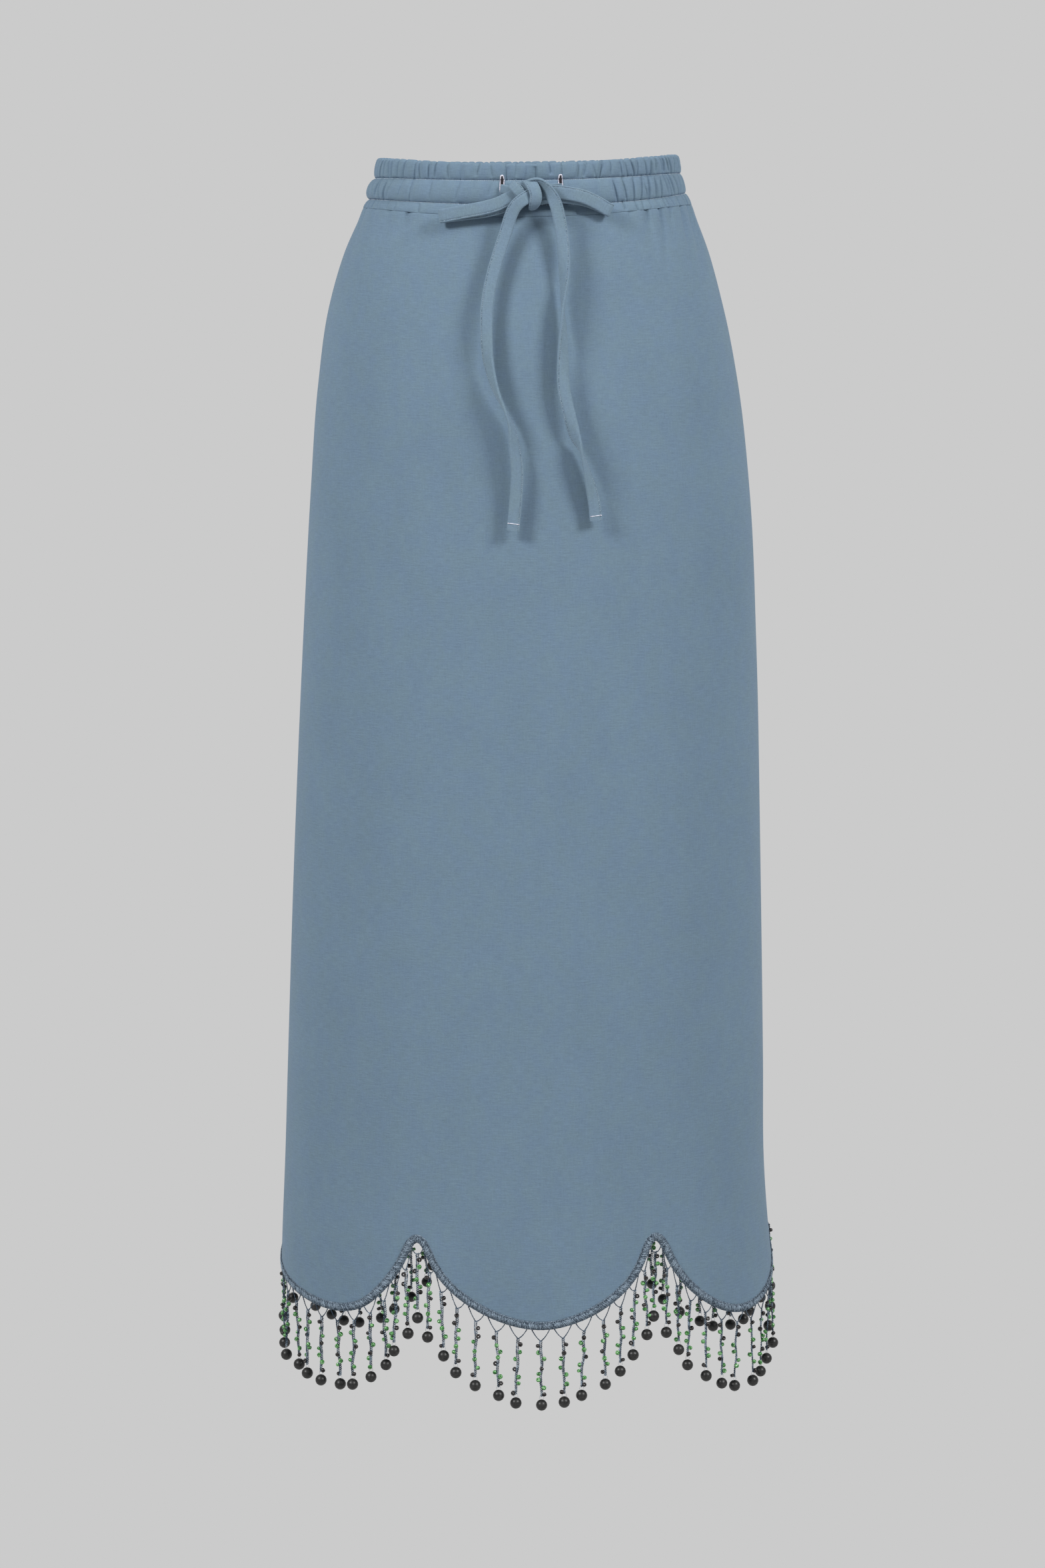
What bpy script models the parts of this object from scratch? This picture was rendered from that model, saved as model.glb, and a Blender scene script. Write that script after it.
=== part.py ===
"""Long jersey skirt with a gathered drawstring waist and a beaded fringe.

Metres, +Z up. The origin is the centre of the waist opening, half way down
the waistband. The front faces -Y and +X is the viewer's right. Every piece
lies on one skirt surface, given by an angle round the body (0 is the middle
of the front, 90 degrees the viewer's right) and a drop below the top edge.
"""
import math
from collections import namedtuple

import bmesh
import bpy
import numpy as np
from mathutils import Vector

for old in list(bpy.data.objects):
    bpy.data.objects.remove(old, do_unlink=True)

# Driving sizes
BAND_HEIGHT = 0.0435
TOP_Z = BAND_HEIGHT / 2
SEAM_GAP = 0.0003
CLOTH_WALL = 0.0018
BAND_WALL = 0.0030
FRONT_DIP = 0.0095
SEAM_DIP = 0.0030
SIDE_LIFT = 0.0015
WAIST_TILT_END = 0.30

# Outline of the worn skirt: the front and the back are half ellipses
Section = namedtuple("Section", "drop half_width centre_x front back")
SECTIONS = (
    Section(0.000, 0.1337, 0.0012, 0.094, 0.094),
    Section(0.0435, 0.1445, 0.0008, 0.100, 0.103),
    Section(0.081, 0.1593, -0.0002, 0.106, 0.118),
    Section(0.128, 0.1729, -0.0005, 0.112, 0.132),
    Section(0.198, 0.1852, 0.0014, 0.118, 0.143),
    Section(0.291, 0.1942, 0.0033, 0.121, 0.145),
    Section(0.431, 0.2019, 0.0028, 0.123, 0.139),
    Section(0.617, 0.2089, 0.0008, 0.125, 0.134),
    Section(0.803, 0.2144, -0.0008, 0.127, 0.133),
    Section(0.900, 0.2170, -0.0017, 0.129, 0.133),
    Section(0.950, 0.2200, -0.0010, 0.131, 0.134),
    Section(1.030, 0.2262, 0.0024, 0.134, 0.137),
)
PANEL_DROPS = (0.081, 0.128, 0.198, 0.291, 0.431, 0.617, 0.803, 0.900)

# Waistband: two elastic channels and a flat third band, gathered all round
BandRow = namedtuple("BandRow", "drop out gather")
BAND_ROWS = (
    BandRow(0.0000, -0.0009, 0.0009),
    BandRow(0.0066, -0.0022, 0.0013),
    BandRow(0.0135, -0.0036, 0.0003),
    BandRow(0.0232, -0.0016, 0.0014),
    BandRow(0.0330, -0.0026, 0.0003),
    BandRow(BAND_HEIGHT - SEAM_GAP, -0.0004, 0.0004),
)
BAND_INSIDE_DROPS = (BAND_HEIGHT - SEAM_GAP, 0.0330, 0.0135, 0.000)
BAND_PINCH = 0.0040
GATHERS = 56

# Scalloped hem: peaks between the scallops, two of them on the side seams
PEAKS_FRONT = (-109.0, -26.5, 31.5, 100.0)
PEAKS_BACK = (100.0, 154.0, 200.0, 251.0)
HEM_RING_DROP = 0.985
HEM_PEAK_DROP = 0.945
HEM_DEPTH = 0.0772
HEM_RISE = 0.034
HEM_POWER = 1.22
HEM_PEAK_RADIUS = 0.004
HALF_SCALLOP_COLUMNS = 7
COLUMN_CROWDING = 1.35
RING_SPAN = (-140.0, 280.0)
RING_STEPS = 4200

# Trim along the hem, and the strands that hang from it
TRIM_WIDTH = 0.0064
TRIM_THICK = 0.0028
TRIM_PROUD = 0.0005
STRAND_PITCH = 0.0193
THREAD_PAIR_GAP = 0.0028
THREAD_RADIUS = 0.0008
THREAD_FALL = 0.0105
CORD_RADIUS = 0.0019
BEAD_RADIUS = 0.0050
BEAD_FALL = 0.0680
STRAND_SWAY = 0.0022
ROOT_DEPTH = 0.0018
CORD_OVER_THREADS = 0.0009
THREAD_SIDES = 3
ROD_REFERENCE = (0.0, 1.0, 0.3)
BEAD_SIDES = 6
BEAD_RINGS = 4

# Drawstring: a flat tape of the skirt's own cloth
TAPE_WIDTH = 0.0110
TAPE_THICK = 0.0026
LOOP_THICK = 0.0056
KNOT_SIZE = (0.0265, 0.0135, 0.0225)
KNOT_PLACE = (-0.0006, 0.0257)
KNOT_EDGE = 0.0033
KNOT_STAND = 0.0007
TAIL_RINGS = 26
LOOP_RINGS = 9
LEAD_RINGS = 2

# Routes over the skirt: stand is the tape's distance off the cloth, and turn
# twists it about its own length, in degrees
TapePoint = namedtuple("TapePoint", "x drop stand turn")
LEAD_LEFT = (TapePoint(-0.0218, 0.0178, 0.0017, 0), TapePoint(-0.0142, 0.0178, 0.0050, 0))
LEAD_RIGHT = (TapePoint(0.0298, 0.0178, 0.0017, 0), TapePoint(0.0130, 0.0178, 0.0046, 0))
LOOP_LEFT = (
    TapePoint(-0.0151, 0.0286, 0.0100, 0),
    TapePoint(-0.0284, 0.0321, 0.0092, 0),
    TapePoint(-0.0430, 0.0368, 0.0085, 0),
    TapePoint(-0.0566, 0.0395, 0.0075, 0),
    TapePoint(-0.0732, 0.0433, 0.0065, 0),
)
LOOP_RIGHT = (
    TapePoint(0.0132, 0.0231, 0.0092, 0),
    TapePoint(0.0223, 0.0229, 0.0092, 0),
    TapePoint(0.0369, 0.0238, 0.0086, 0),
    TapePoint(0.0506, 0.0280, 0.0080, 0),
    TapePoint(0.0652, 0.0340, 0.0072, 0),
    TapePoint(0.0725, 0.0395, 0.0070, 0),
)
TAIL_LEFT = (
    TapePoint(-0.0070, 0.0376, 0.0100, 0),
    TapePoint(-0.0090, 0.0430, 0.0100, 0),
    TapePoint(-0.0140, 0.0500, 0.0100, 0),
    TapePoint(-0.0205, 0.0590, 0.0100, 0),
    TapePoint(-0.0284, 0.0867, 0.0110, 5),
    TapePoint(-0.0332, 0.1164, 0.0110, 10),
    TapePoint(-0.0342, 0.1462, 0.0100, 15),
    TapePoint(-0.0313, 0.1720, 0.0095, 35),
    TapePoint(-0.0264, 0.1956, 0.0090, 70),
    TapePoint(-0.0211, 0.2171, 0.0090, 70),
    TapePoint(-0.0157, 0.2365, 0.0085, 35),
    TapePoint(-0.0108, 0.2566, 0.0075, 10),
    TapePoint(-0.0079, 0.2756, 0.0065, 0),
    TapePoint(-0.0089, 0.2982, 0.0055, 0),
    TapePoint(-0.0114, 0.3187, 0.0050, 0),
)
TAIL_RIGHT = (
    TapePoint(0.0156, 0.0195, 0.0142, 0),
    TapePoint(0.0192, 0.0212, 0.0146, 0),
    TapePoint(0.0230, 0.0262, 0.0146, 0),
    TapePoint(0.0250, 0.0345, 0.0142, 0),
    TapePoint(0.0291, 0.0483, 0.0130, 10),
    TapePoint(0.0320, 0.0674, 0.0120, 25),
    TapePoint(0.0320, 0.0867, 0.0110, 45),
    TapePoint(0.0311, 0.1071, 0.0100, 70),
    TapePoint(0.0311, 0.1267, 0.0095, 75),
    TapePoint(0.0311, 0.1462, 0.0095, 75),
    TapePoint(0.0311, 0.1658, 0.0090, 60),
    TapePoint(0.0340, 0.2059, 0.0085, 25),
    TapePoint(0.0379, 0.2253, 0.0085, 35),
    TapePoint(0.0438, 0.2445, 0.0085, 70),
    TapePoint(0.0487, 0.2646, 0.0080, 45),
    TapePoint(0.0536, 0.2835, 0.0065, 10),
    TapePoint(0.0566, 0.2982, 0.0055, 0),
    TapePoint(0.0591, 0.3128, 0.0050, 0),
)


def make_material(name, colour, roughness, metallic=0.0):
    """A Principled material with a plain colour."""
    made = bpy.data.materials.new(name)
    made.use_nodes = True
    shader = made.node_tree.nodes["Principled BSDF"]
    shader.inputs["Base Color"].default_value = (*colour, 1.0)
    shader.inputs["Roughness"].default_value = roughness
    shader.inputs["Metallic"].default_value = metallic
    return made


JERSEY = make_material("jersey", (0.165, 0.246, 0.323), 0.90)
TAPE = make_material("tape", (0.175, 0.256, 0.333), 0.85)
FRINGE = make_material("fringe", (0.060, 0.090, 0.120), 0.70)

skirt_parts = bpy.data.collections.new("beaded_skirt")
guides = bpy.data.collections.new("guides")
for collection in (skirt_parts, guides):
    bpy.context.scene.collection.children.link(collection)


def section_at(drop):
    """The outline's sizes at a drop below the top edge."""
    drops = [row.drop for row in SECTIONS]
    sizes = [np.interp(drop, drops, [getattr(row, field) for row in SECTIONS])
             for field in Section._fields[1:]]
    return Section(drop, *[float(size) for size in sizes])


def waist_tilt(angle, drop):
    """How far the top of the skirt dips in front and lifts at one side."""
    reach = min(max(drop / WAIST_TILT_END, 0.0), 1.0)
    fade = 1.0 - reach * reach * (3.0 - 2.0 * reach)
    seam_share = min(drop / BAND_HEIGHT, 1.0)
    dip = (FRONT_DIP + SEAM_DIP * seam_share) * max(math.cos(angle), 0.0) ** 2
    return fade * (SIDE_LIFT * math.sin(angle) - dip)


def outward(angle, drop):
    """The level direction that points out of the skirt at an angle."""
    row = section_at(drop)
    depth = row.front if math.cos(angle) > 0 else row.back
    return Vector((depth * math.sin(angle), -row.half_width * math.cos(angle), 0)).normalized()


def skirt_point(angle, drop, out=0.0):
    """A point on the skirt's surface, moved out of it by a distance."""
    row = section_at(drop)
    depth = row.front if math.cos(angle) > 0 else row.back
    place = Vector((row.centre_x + row.half_width * math.sin(angle),
                    -depth * math.cos(angle),
                    TOP_Z - drop + waist_tilt(angle, drop)))
    return place + outward(angle, drop) * out


def front_angle(x, drop):
    """The angle at which the front of the skirt passes a place across."""
    row = section_at(drop)
    return math.asin((x - row.centre_x) / row.half_width)


def add_object(name, mesh, material, collection=skirt_parts):
    """Links a mesh as a named object with its material."""
    made = bpy.data.objects.new(name, mesh)
    made.data.materials.append(material)
    collection.objects.link(made)
    return made


def finish_mesh(name, work):
    """Turns a bmesh into a mesh whose faces point outwards."""
    bmesh.ops.recalc_face_normals(work, faces=work.faces)
    mesh = bpy.data.meshes.new(name)
    work.to_mesh(mesh)
    work.free()
    return mesh


def add_rings(work, rings, capped):
    """Puts rings of points in a bmesh as one closed tube.

    The last ring meets the first, or both ends are capped.
    """
    rows = [[work.verts.new(point) for point in ring] for ring in rings]
    followers = rows[1:] if capped else rows[1:] + rows[:1]
    for here, there in zip(rows, followers):
        for j in range(len(here)):
            k = (j + 1) % len(here)
            work.faces.new((here[j], here[k], there[k], there[j]))
    if capped:
        work.faces.new(rows[0])
        work.faces.new(rows[-1])


# Waistband
def build_waistband():
    """One ring: gathers and channels outside, a plain inside."""
    columns = 2 * GATHERS
    work = bmesh.new()
    rings = []
    for column in range(columns):
        angle = 2 * math.pi * column / columns
        wave = 1 if column % 2 else -1
        outer = [skirt_point(angle, row.drop, row.out + wave * row.gather) for row in BAND_ROWS]
        inner = [skirt_point(angle, drop, -BAND_WALL - BAND_PINCH) for drop in BAND_INSIDE_DROPS]
        rings.append(outer + inner)
    add_rings(work, rings, capped=False)
    return add_object("waistband", finish_mesh("waistband", work), JERSEY)


build_waistband()

# Hem: arc length round the hem ring, and the scallops along it
RING = section_at(HEM_RING_DROP)
RING_ANGLES = np.radians(np.linspace(*RING_SPAN, RING_STEPS + 1))
RING_DEPTHS = np.where(np.cos(RING_ANGLES) > 0, RING.front, RING.back)
RING_SPEEDS = np.hypot(RING.half_width * np.cos(RING_ANGLES), RING_DEPTHS * np.sin(RING_ANGLES))
RING_ARCS = np.concatenate(([0.0], np.cumsum(RING_SPEEDS[1:] * np.diff(RING_ANGLES))))


def angle_at(arc):
    """The angle that lies an arc length along the hem ring."""
    return float(np.interp(arc, RING_ARCS, RING_ANGLES))


def arc_at(degrees):
    """The arc length along the hem ring at an angle in degrees."""
    return float(np.interp(math.radians(degrees), RING_ANGLES, RING_ARCS))


def hem_drop(distance, half_span):
    """The trim's lower edge, a distance from the nearest peak."""
    reach = distance / half_span
    eased = half_span * (reach - reach ** 5 / 5)
    rounded = math.hypot(eased, HEM_PEAK_RADIUS) - HEM_PEAK_RADIUS
    return HEM_PEAK_DROP + HEM_DEPTH * (1 - math.exp(-(rounded / HEM_RISE) ** HEM_POWER))


def hem_edge(peaks):
    """The trim's lower edge from seam to seam, as (arc, drop) points."""
    edge = []
    for start, end in zip(peaks[:-1], peaks[1:]):
        first, last = arc_at(start), arc_at(end)
        half_span = (last - first) / 2
        steps = [half_span * (k / HALF_SCALLOP_COLUMNS) ** COLUMN_CROWDING
                 for k in range(HALF_SCALLOP_COLUMNS + 1)]
        edge += [(first + step, hem_drop(step, half_span)) for step in steps]
        edge += [(last - step, hem_drop(step, half_span)) for step in reversed(steps[:-1])]
        if end != peaks[-1]:
            edge.pop()
    edge[0] = (edge[0][0] + SEAM_GAP / 2, edge[0][1])
    edge[-1] = (edge[-1][0] - SEAM_GAP / 2, edge[-1][1])
    return edge


def raised_edge(edge, height):
    """The hem edge moved up into the cloth, square to itself."""
    raised = []
    for i, (arc, drop) in enumerate(edge):
        if i in (0, len(edge) - 1):
            raised.append((arc, drop - height))
            continue
        along = edge[i + 1][0] - edge[i - 1][0]
        down = edge[i + 1][1] - edge[i - 1][1]
        length = math.hypot(along, down)
        raised.append((arc + height * down / length, drop - height * along / length))
    return raised


# Front and back panels
def build_panel(name, peaks):
    """An open grid from the waist seam to the scallops, made solid."""
    edge = raised_edge(hem_edge(peaks), TRIM_WIDTH + SEAM_GAP)
    work = bmesh.new()
    columns = []
    for arc, drop in edge:
        angle = angle_at(arc)
        drops = (BAND_HEIGHT, *PANEL_DROPS, drop)
        columns.append([work.verts.new(skirt_point(angle, d)) for d in drops])
    for left, right in zip(columns[:-1], columns[1:]):
        for i in range(len(left) - 1):
            work.faces.new((left[i], left[i + 1], right[i + 1], right[i]))
    mesh = bpy.data.meshes.new(name)
    work.to_mesh(mesh)
    work.free()
    mesh.shade_smooth()
    panel = add_object(name, mesh, JERSEY)
    wall = panel.modifiers.new("wall", "SOLIDIFY")
    wall.thickness = CLOTH_WALL
    wall.offset = -1
    wall.use_even_offset = True
    return panel


build_panel("front_panel", PEAKS_FRONT)
build_panel("back_panel", PEAKS_BACK)


# Fringe
def build_trim(name, edge):
    """The narrow strip just below the cloth's edge."""
    upper = raised_edge(edge, TRIM_WIDTH)
    inset = TRIM_PROUD - TRIM_THICK
    work = bmesh.new()
    rings = [[skirt_point(angle_at(top[0]), top[1], TRIM_PROUD),
              skirt_point(angle_at(low[0]), low[1], TRIM_PROUD),
              skirt_point(angle_at(low[0]), low[1], inset),
              skirt_point(angle_at(top[0]), top[1], inset)]
             for top, low in zip(upper, edge)]
    add_rings(work, rings, capped=True)
    return add_object(name, finish_mesh(name, work), FRINGE)


def strand_places(edge, peaks):
    """Path lengths along the hem at which strands hang, one at each peak."""
    steps = [math.dist(a, b) for a, b in zip(edge[:-1], edge[1:])]
    path = np.concatenate(([0.0], np.cumsum(steps)))
    peak_rows = range(0, len(edge), 2 * HALF_SCALLOP_COLUMNS)
    stops = [path[row] for row in peak_rows]
    places = []
    for i, (start, end) in enumerate(zip(stops[:-1], stops[1:])):
        at_first, at_last = i == 0, i == len(stops) - 2
        count = round((end - start) / STRAND_PITCH)
        shift = 0.5 if at_first else 0.0
        spaces = count + 0.5 if at_first or at_last else count
        places += [start + (end - start) * (k + shift) / spaces
                   for k in range(count + (1 if at_last or at_first else 0))
                   if k + shift < spaces]
    return path, sorted(set(places))


def add_rod(work, start, end, radius):
    """A thin prism between two points."""
    along = (end - start).normalized()
    side = along.cross(Vector(ROD_REFERENCE)).normalized()
    other = along.cross(side)
    turns = [2 * math.pi * k / THREAD_SIDES for k in range(THREAD_SIDES)]
    ring = [radius * (math.cos(t) * side + math.sin(t) * other) for t in turns]
    add_rings(work, [[start + p for p in ring], [end + p for p in ring]], capped=True)


def add_strand(work, point_at, place, reach, number):
    """Two threads that meet, a crocheted cord and the large bead on its end."""
    middle = point_at(place, 0.0)
    joint = middle - Vector((0, 0, THREAD_FALL))
    sway = STRAND_SWAY * math.sin(2.3 * number)
    bead = middle + Vector((sway, 0.5 * sway, -BEAD_FALL))
    for side in (-1, 1):
        add_rod(work, point_at(place + side * reach, ROOT_DEPTH), joint, THREAD_RADIUS)
    add_rod(work, joint + Vector((0, 0, CORD_OVER_THREADS)), bead, CORD_RADIUS)
    made = bmesh.ops.create_uvsphere(
        work, u_segments=BEAD_SIDES, v_segments=BEAD_RINGS, radius=BEAD_RADIUS)
    bmesh.ops.translate(work, verts=made["verts"], vec=bead)


def build_fringe(name, peaks):
    """Trim, strands and large beads of one panel, fused into one body."""
    edge = hem_edge(peaks)
    path, places = strand_places(edge, peaks)
    arcs = [arc for arc, _ in edge]
    drops = [drop for _, drop in edge]
    middle = TRIM_PROUD - TRIM_THICK / 2
    ends = (path[0] + THREAD_PAIR_GAP / 2, path[-1] - THREAD_PAIR_GAP / 2)

    def point_at(place, up):
        place = min(max(place, ends[0]), ends[1])
        arc = float(np.interp(place, path, arcs))
        drop = float(np.interp(place, path, drops))
        return skirt_point(angle_at(arc), drop - up, middle)

    trim = build_trim(name, edge)
    reach = (STRAND_PITCH - THREAD_PAIR_GAP) / 2
    work = bmesh.new()
    for number, place in enumerate(places):
        add_strand(work, point_at, place, reach, number)
    strands = add_object(name + "_strands", finish_mesh(name + "_strands", work), FRINGE, guides)
    strands.hide_render = True
    strands.display_type = "WIRE"
    fuse = trim.modifiers.new("fuse", "BOOLEAN")
    fuse.operation = "UNION"
    fuse.object = strands
    fuse.use_self = True
    return trim


build_fringe("fringe_front", PEAKS_FRONT)
build_fringe("fringe_back", PEAKS_BACK)


# Drawstring
def smooth_route(points, count):
    """Evenly numbered stations on a smooth curve through a route's points."""
    rows = np.array(points, dtype=float)
    padded = np.vstack((2 * rows[0] - rows[1], rows, 2 * rows[-1] - rows[-2]))
    stations = []
    for t in np.linspace(0, len(rows) - 1, count):
        i = min(int(t), len(rows) - 2)
        u = t - i
        a, b, c, d = padded[i:i + 4]
        stations.append(TapePoint(*(0.5 * (2 * b + (c - a) * u
                                           + (2 * a - 5 * b + 4 * c - d) * u ** 2
                                           + (3 * b - a - 3 * c + d) * u ** 3))))
    return stations


def build_tape(name, route, count, thick):
    """A flat tape laid along a route over the front of the skirt."""
    stations = smooth_route(route, count)
    angles = [front_angle(p.x, p.drop) for p in stations]
    centres = [skirt_point(a, p.drop, p.stand) for a, p in zip(angles, stations)]
    work = bmesh.new()
    rings = []
    for i, (angle, station) in enumerate(zip(angles, stations)):
        before, after = centres[max(i - 1, 0)], centres[min(i + 1, count - 1)]
        along = (after - before).normalized()
        across = along.cross(outward(angle, station.drop)).normalized()
        face = across.cross(along)
        turn = math.radians(station.turn)
        wide = (math.cos(turn) * across + math.sin(turn) * face) * TAPE_WIDTH / 2
        deep = (math.cos(turn) * face - math.sin(turn) * across) * thick / 2
        centre = centres[i]
        rings.append([centre + wide + deep, centre - wide + deep,
                      centre - wide - deep, centre + wide - deep])
    add_rings(work, rings, capped=True)
    return add_object(name, finish_mesh(name, work), TAPE)


def build_knot():
    """The bow's knot, a block with well rounded edges on the waistband."""
    x, drop = KNOT_PLACE
    place = skirt_point(front_angle(x, drop), drop, KNOT_STAND + KNOT_SIZE[1] / 2)
    work = bmesh.new()
    bmesh.ops.create_cube(work, size=1.0)
    bmesh.ops.scale(work, vec=Vector(KNOT_SIZE), verts=work.verts)
    bmesh.ops.translate(work, vec=place, verts=work.verts)
    mesh = bpy.data.meshes.new("drawstring_knot")
    work.to_mesh(mesh)
    work.free()
    knot = add_object("drawstring_knot", mesh, TAPE)
    rounding = knot.modifiers.new("rounding", "BEVEL")
    rounding.width = KNOT_EDGE
    rounding.segments = 3
    return knot


build_knot()
build_tape("drawstring_lead_left", LEAD_LEFT, LEAD_RINGS, TAPE_THICK)
build_tape("drawstring_lead_right", LEAD_RIGHT, LEAD_RINGS, TAPE_THICK)
build_tape("drawstring_loop_left", LOOP_LEFT, LOOP_RINGS, LOOP_THICK)
build_tape("drawstring_loop_right", LOOP_RIGHT, LOOP_RINGS, LOOP_THICK)
build_tape("drawstring_tail_left", TAIL_LEFT, TAIL_RINGS, TAPE_THICK)
build_tape("drawstring_tail_right", TAIL_RIGHT, TAIL_RINGS, TAPE_THICK)
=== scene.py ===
"""The looks of a long jersey skirt with a gathered waist and a beaded fringe.

Metres, +Z up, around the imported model: the origin is the centre of the waist
opening, the front faces -Y and +X is the viewer's right. A place on the skirt
is an angle round the body, 0 in the middle of the front and 90 degrees on the
viewer's right, and a drop below the top edge of the waistband.
"""
import math
from collections import namedtuple

import bpy
import numpy as np
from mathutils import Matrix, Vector


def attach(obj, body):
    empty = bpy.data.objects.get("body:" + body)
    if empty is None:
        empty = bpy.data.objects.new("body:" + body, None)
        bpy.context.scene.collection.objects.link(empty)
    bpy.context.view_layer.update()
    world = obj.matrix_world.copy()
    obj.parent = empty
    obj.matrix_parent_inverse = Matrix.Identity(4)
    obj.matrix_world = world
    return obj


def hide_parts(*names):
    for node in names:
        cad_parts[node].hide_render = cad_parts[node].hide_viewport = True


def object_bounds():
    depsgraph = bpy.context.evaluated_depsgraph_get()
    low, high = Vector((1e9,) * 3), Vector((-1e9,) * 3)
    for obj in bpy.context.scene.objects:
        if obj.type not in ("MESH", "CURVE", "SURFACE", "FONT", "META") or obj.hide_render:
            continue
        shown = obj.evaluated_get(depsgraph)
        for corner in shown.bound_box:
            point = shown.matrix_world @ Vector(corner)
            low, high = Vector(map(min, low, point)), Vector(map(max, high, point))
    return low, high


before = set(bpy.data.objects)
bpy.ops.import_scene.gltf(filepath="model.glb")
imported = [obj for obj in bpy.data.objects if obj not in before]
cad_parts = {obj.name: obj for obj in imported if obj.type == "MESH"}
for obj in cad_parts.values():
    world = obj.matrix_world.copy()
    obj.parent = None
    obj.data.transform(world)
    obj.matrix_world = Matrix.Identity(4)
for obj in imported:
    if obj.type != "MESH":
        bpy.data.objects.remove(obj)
cad_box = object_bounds()

# Camera
# It stands straight in front of the skirt, at the height of its hips, and
# looks a little down, so that the whole skirt is in the upright frame.
CAMERA_PLACE = (-0.0035, -3.225, -0.12825)
CAMERA_TILT = math.radians(90 - 7.135)
camera = bpy.data.objects.new("camera", bpy.data.cameras.new("camera"))
camera.data.sensor_width = 36
camera.data.lens = 83.42
camera.location = CAMERA_PLACE
camera.rotation_euler = (CAMERA_TILT, 0, 0)
bpy.context.scene.collection.objects.link(camera)
bpy.context.scene.camera = camera

# Front and back panels
# Two panels of heathered jersey, sewn together down both sides. They hang
# straight from the waist seam, and their hems are cut in scallops that the
# trim binds. Small gathers run down from the seam and fade over the hips.
BAND_HEIGHT = 0.0435
TOP_Z = BAND_HEIGHT / 2
SEAM_GAP = 0.0003
SEAM_ALLOWANCE = 0.0025
SEAM_TUCK = 0.0010
WAIST_TUCK = 0.0004
TUCK_REACH = 0.0016
HIDDEN_EDGE_OUT = -0.0042
CLOTH_WALL = 0.0018
FRONT_DIP = 0.0095
SEAM_DIP = 0.0030
SIDE_LIFT = 0.0015
WAIST_TILT_END = 0.30
TRIM_WIDTH = 0.0064

Section = namedtuple("Section", "drop half_width centre_x front back")
SECTIONS = (
    Section(0.000, 0.1337, 0.0012, 0.094, 0.094),
    Section(0.0435, 0.1445, 0.0008, 0.100, 0.103),
    Section(0.081, 0.1593, -0.0002, 0.106, 0.118),
    Section(0.128, 0.1729, -0.0005, 0.112, 0.132),
    Section(0.198, 0.1852, 0.0014, 0.118, 0.143),
    Section(0.291, 0.1942, 0.0033, 0.121, 0.145),
    Section(0.431, 0.2019, 0.0028, 0.123, 0.139),
    Section(0.617, 0.2089, 0.0008, 0.125, 0.134),
    Section(0.803, 0.2144, -0.0008, 0.127, 0.133),
    Section(0.900, 0.2170, -0.0017, 0.129, 0.133),
    Section(0.950, 0.2200, -0.0010, 0.131, 0.134),
    Section(1.030, 0.2262, 0.0024, 0.134, 0.137),
)

# Scallops: the peaks between them as angles, the outer two on the seams, then
# each one's depth against HEM_DEPTH, and its lean towards larger angles as a
# share of its span
PEAKS = {"front": (-109.0, -25.6, 31.5, 100.0), "back": (100.0, 154.0, 200.0, 251.0)}
SCALLOP_DEPTHS = {"front": (0.90, 1.0, 1.08), "back": (1.0, 1.0, 1.0)}
SCALLOP_LEANS = {"front": (0.14, 0.0, -0.04), "back": (0.0, 0.0, 0.0)}
HEM_RING_DROP = 0.985
HEM_PEAK_DROP = 0.9435
HEM_DEPTH = 0.0740
HEM_REACH = 0.0708
HEM_POWER = 0.46
HEM_PEAK_RADIUS = 0.0095


def section_sizes(drop):
    """Half width, middle, front depth and back depth on smooth curves."""
    rows = np.array(SECTIONS)
    drops, sizes = rows[:, 0], rows[:, 1:]
    slopes = np.gradient(sizes, drops, axis=0)
    drop = np.clip(drop, drops[0], drops[-1])
    i = np.clip(np.searchsorted(drops, drop, side="right") - 1, 0, len(drops) - 2)
    step = (drops[i + 1] - drops[i])[..., None]
    u = (drop - drops[i])[..., None] / step
    smooth = ((1 + 2 * u) * (1 - u) ** 2 * sizes[i] + u * (1 - u) ** 2 * step * slopes[i]
              + u * u * (3 - 2 * u) * sizes[i + 1] - u * u * (1 - u) * step * slopes[i + 1])
    return np.moveaxis(smooth, -1, 0)


def outward(angle, drop):
    """Level directions that point out of the skirt."""
    half_width, _, front, back = section_sizes(drop)
    depth = np.where(np.cos(angle) > 0, front, back)
    way = np.stack((depth * np.sin(angle), -half_width * np.cos(angle), 0 * angle), -1)
    return way / np.linalg.norm(way, axis=-1, keepdims=True)


def skirt_points(angle, drop, out=0.0):
    """Points on the worn skirt's surface, moved out of it by a distance."""
    angle, drop, out = np.broadcast_arrays(*map(np.atleast_1d, (angle, drop, out)))
    half_width, centre, front, back = section_sizes(drop)
    depth = np.where(np.cos(angle) > 0, front, back)
    reach = np.clip(drop / WAIST_TILT_END, 0, 1)
    fade = 1 - reach * reach * (3 - 2 * reach)
    dip = FRONT_DIP + SEAM_DIP * np.minimum(drop / BAND_HEIGHT, 1)
    tilt = fade * (SIDE_LIFT * np.sin(angle) - dip * np.maximum(np.cos(angle), 0) ** 2)
    place = np.stack((centre + half_width * np.sin(angle), -depth * np.cos(angle),
                      TOP_Z - drop + tilt), -1)
    return place + outward(angle, drop) * out[..., None]


def arc_table(drop, first=-140.0, last=280.0, steps=4200):
    """Angles round the skirt and the arc lengths to them, at one drop."""
    angles = np.radians(np.linspace(first, last, steps + 1))
    half_width, _, front, back = section_sizes(np.array(drop))
    depth = np.where(np.cos(angles) > 0, front, back)
    speeds = np.hypot(half_width * np.cos(angles), depth * np.sin(angles))
    return angles, np.concatenate(([0.0], np.cumsum(speeds[1:] * np.diff(angles))))


HEM_ANGLES, HEM_ARCS = arc_table(HEM_RING_DROP)


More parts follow.
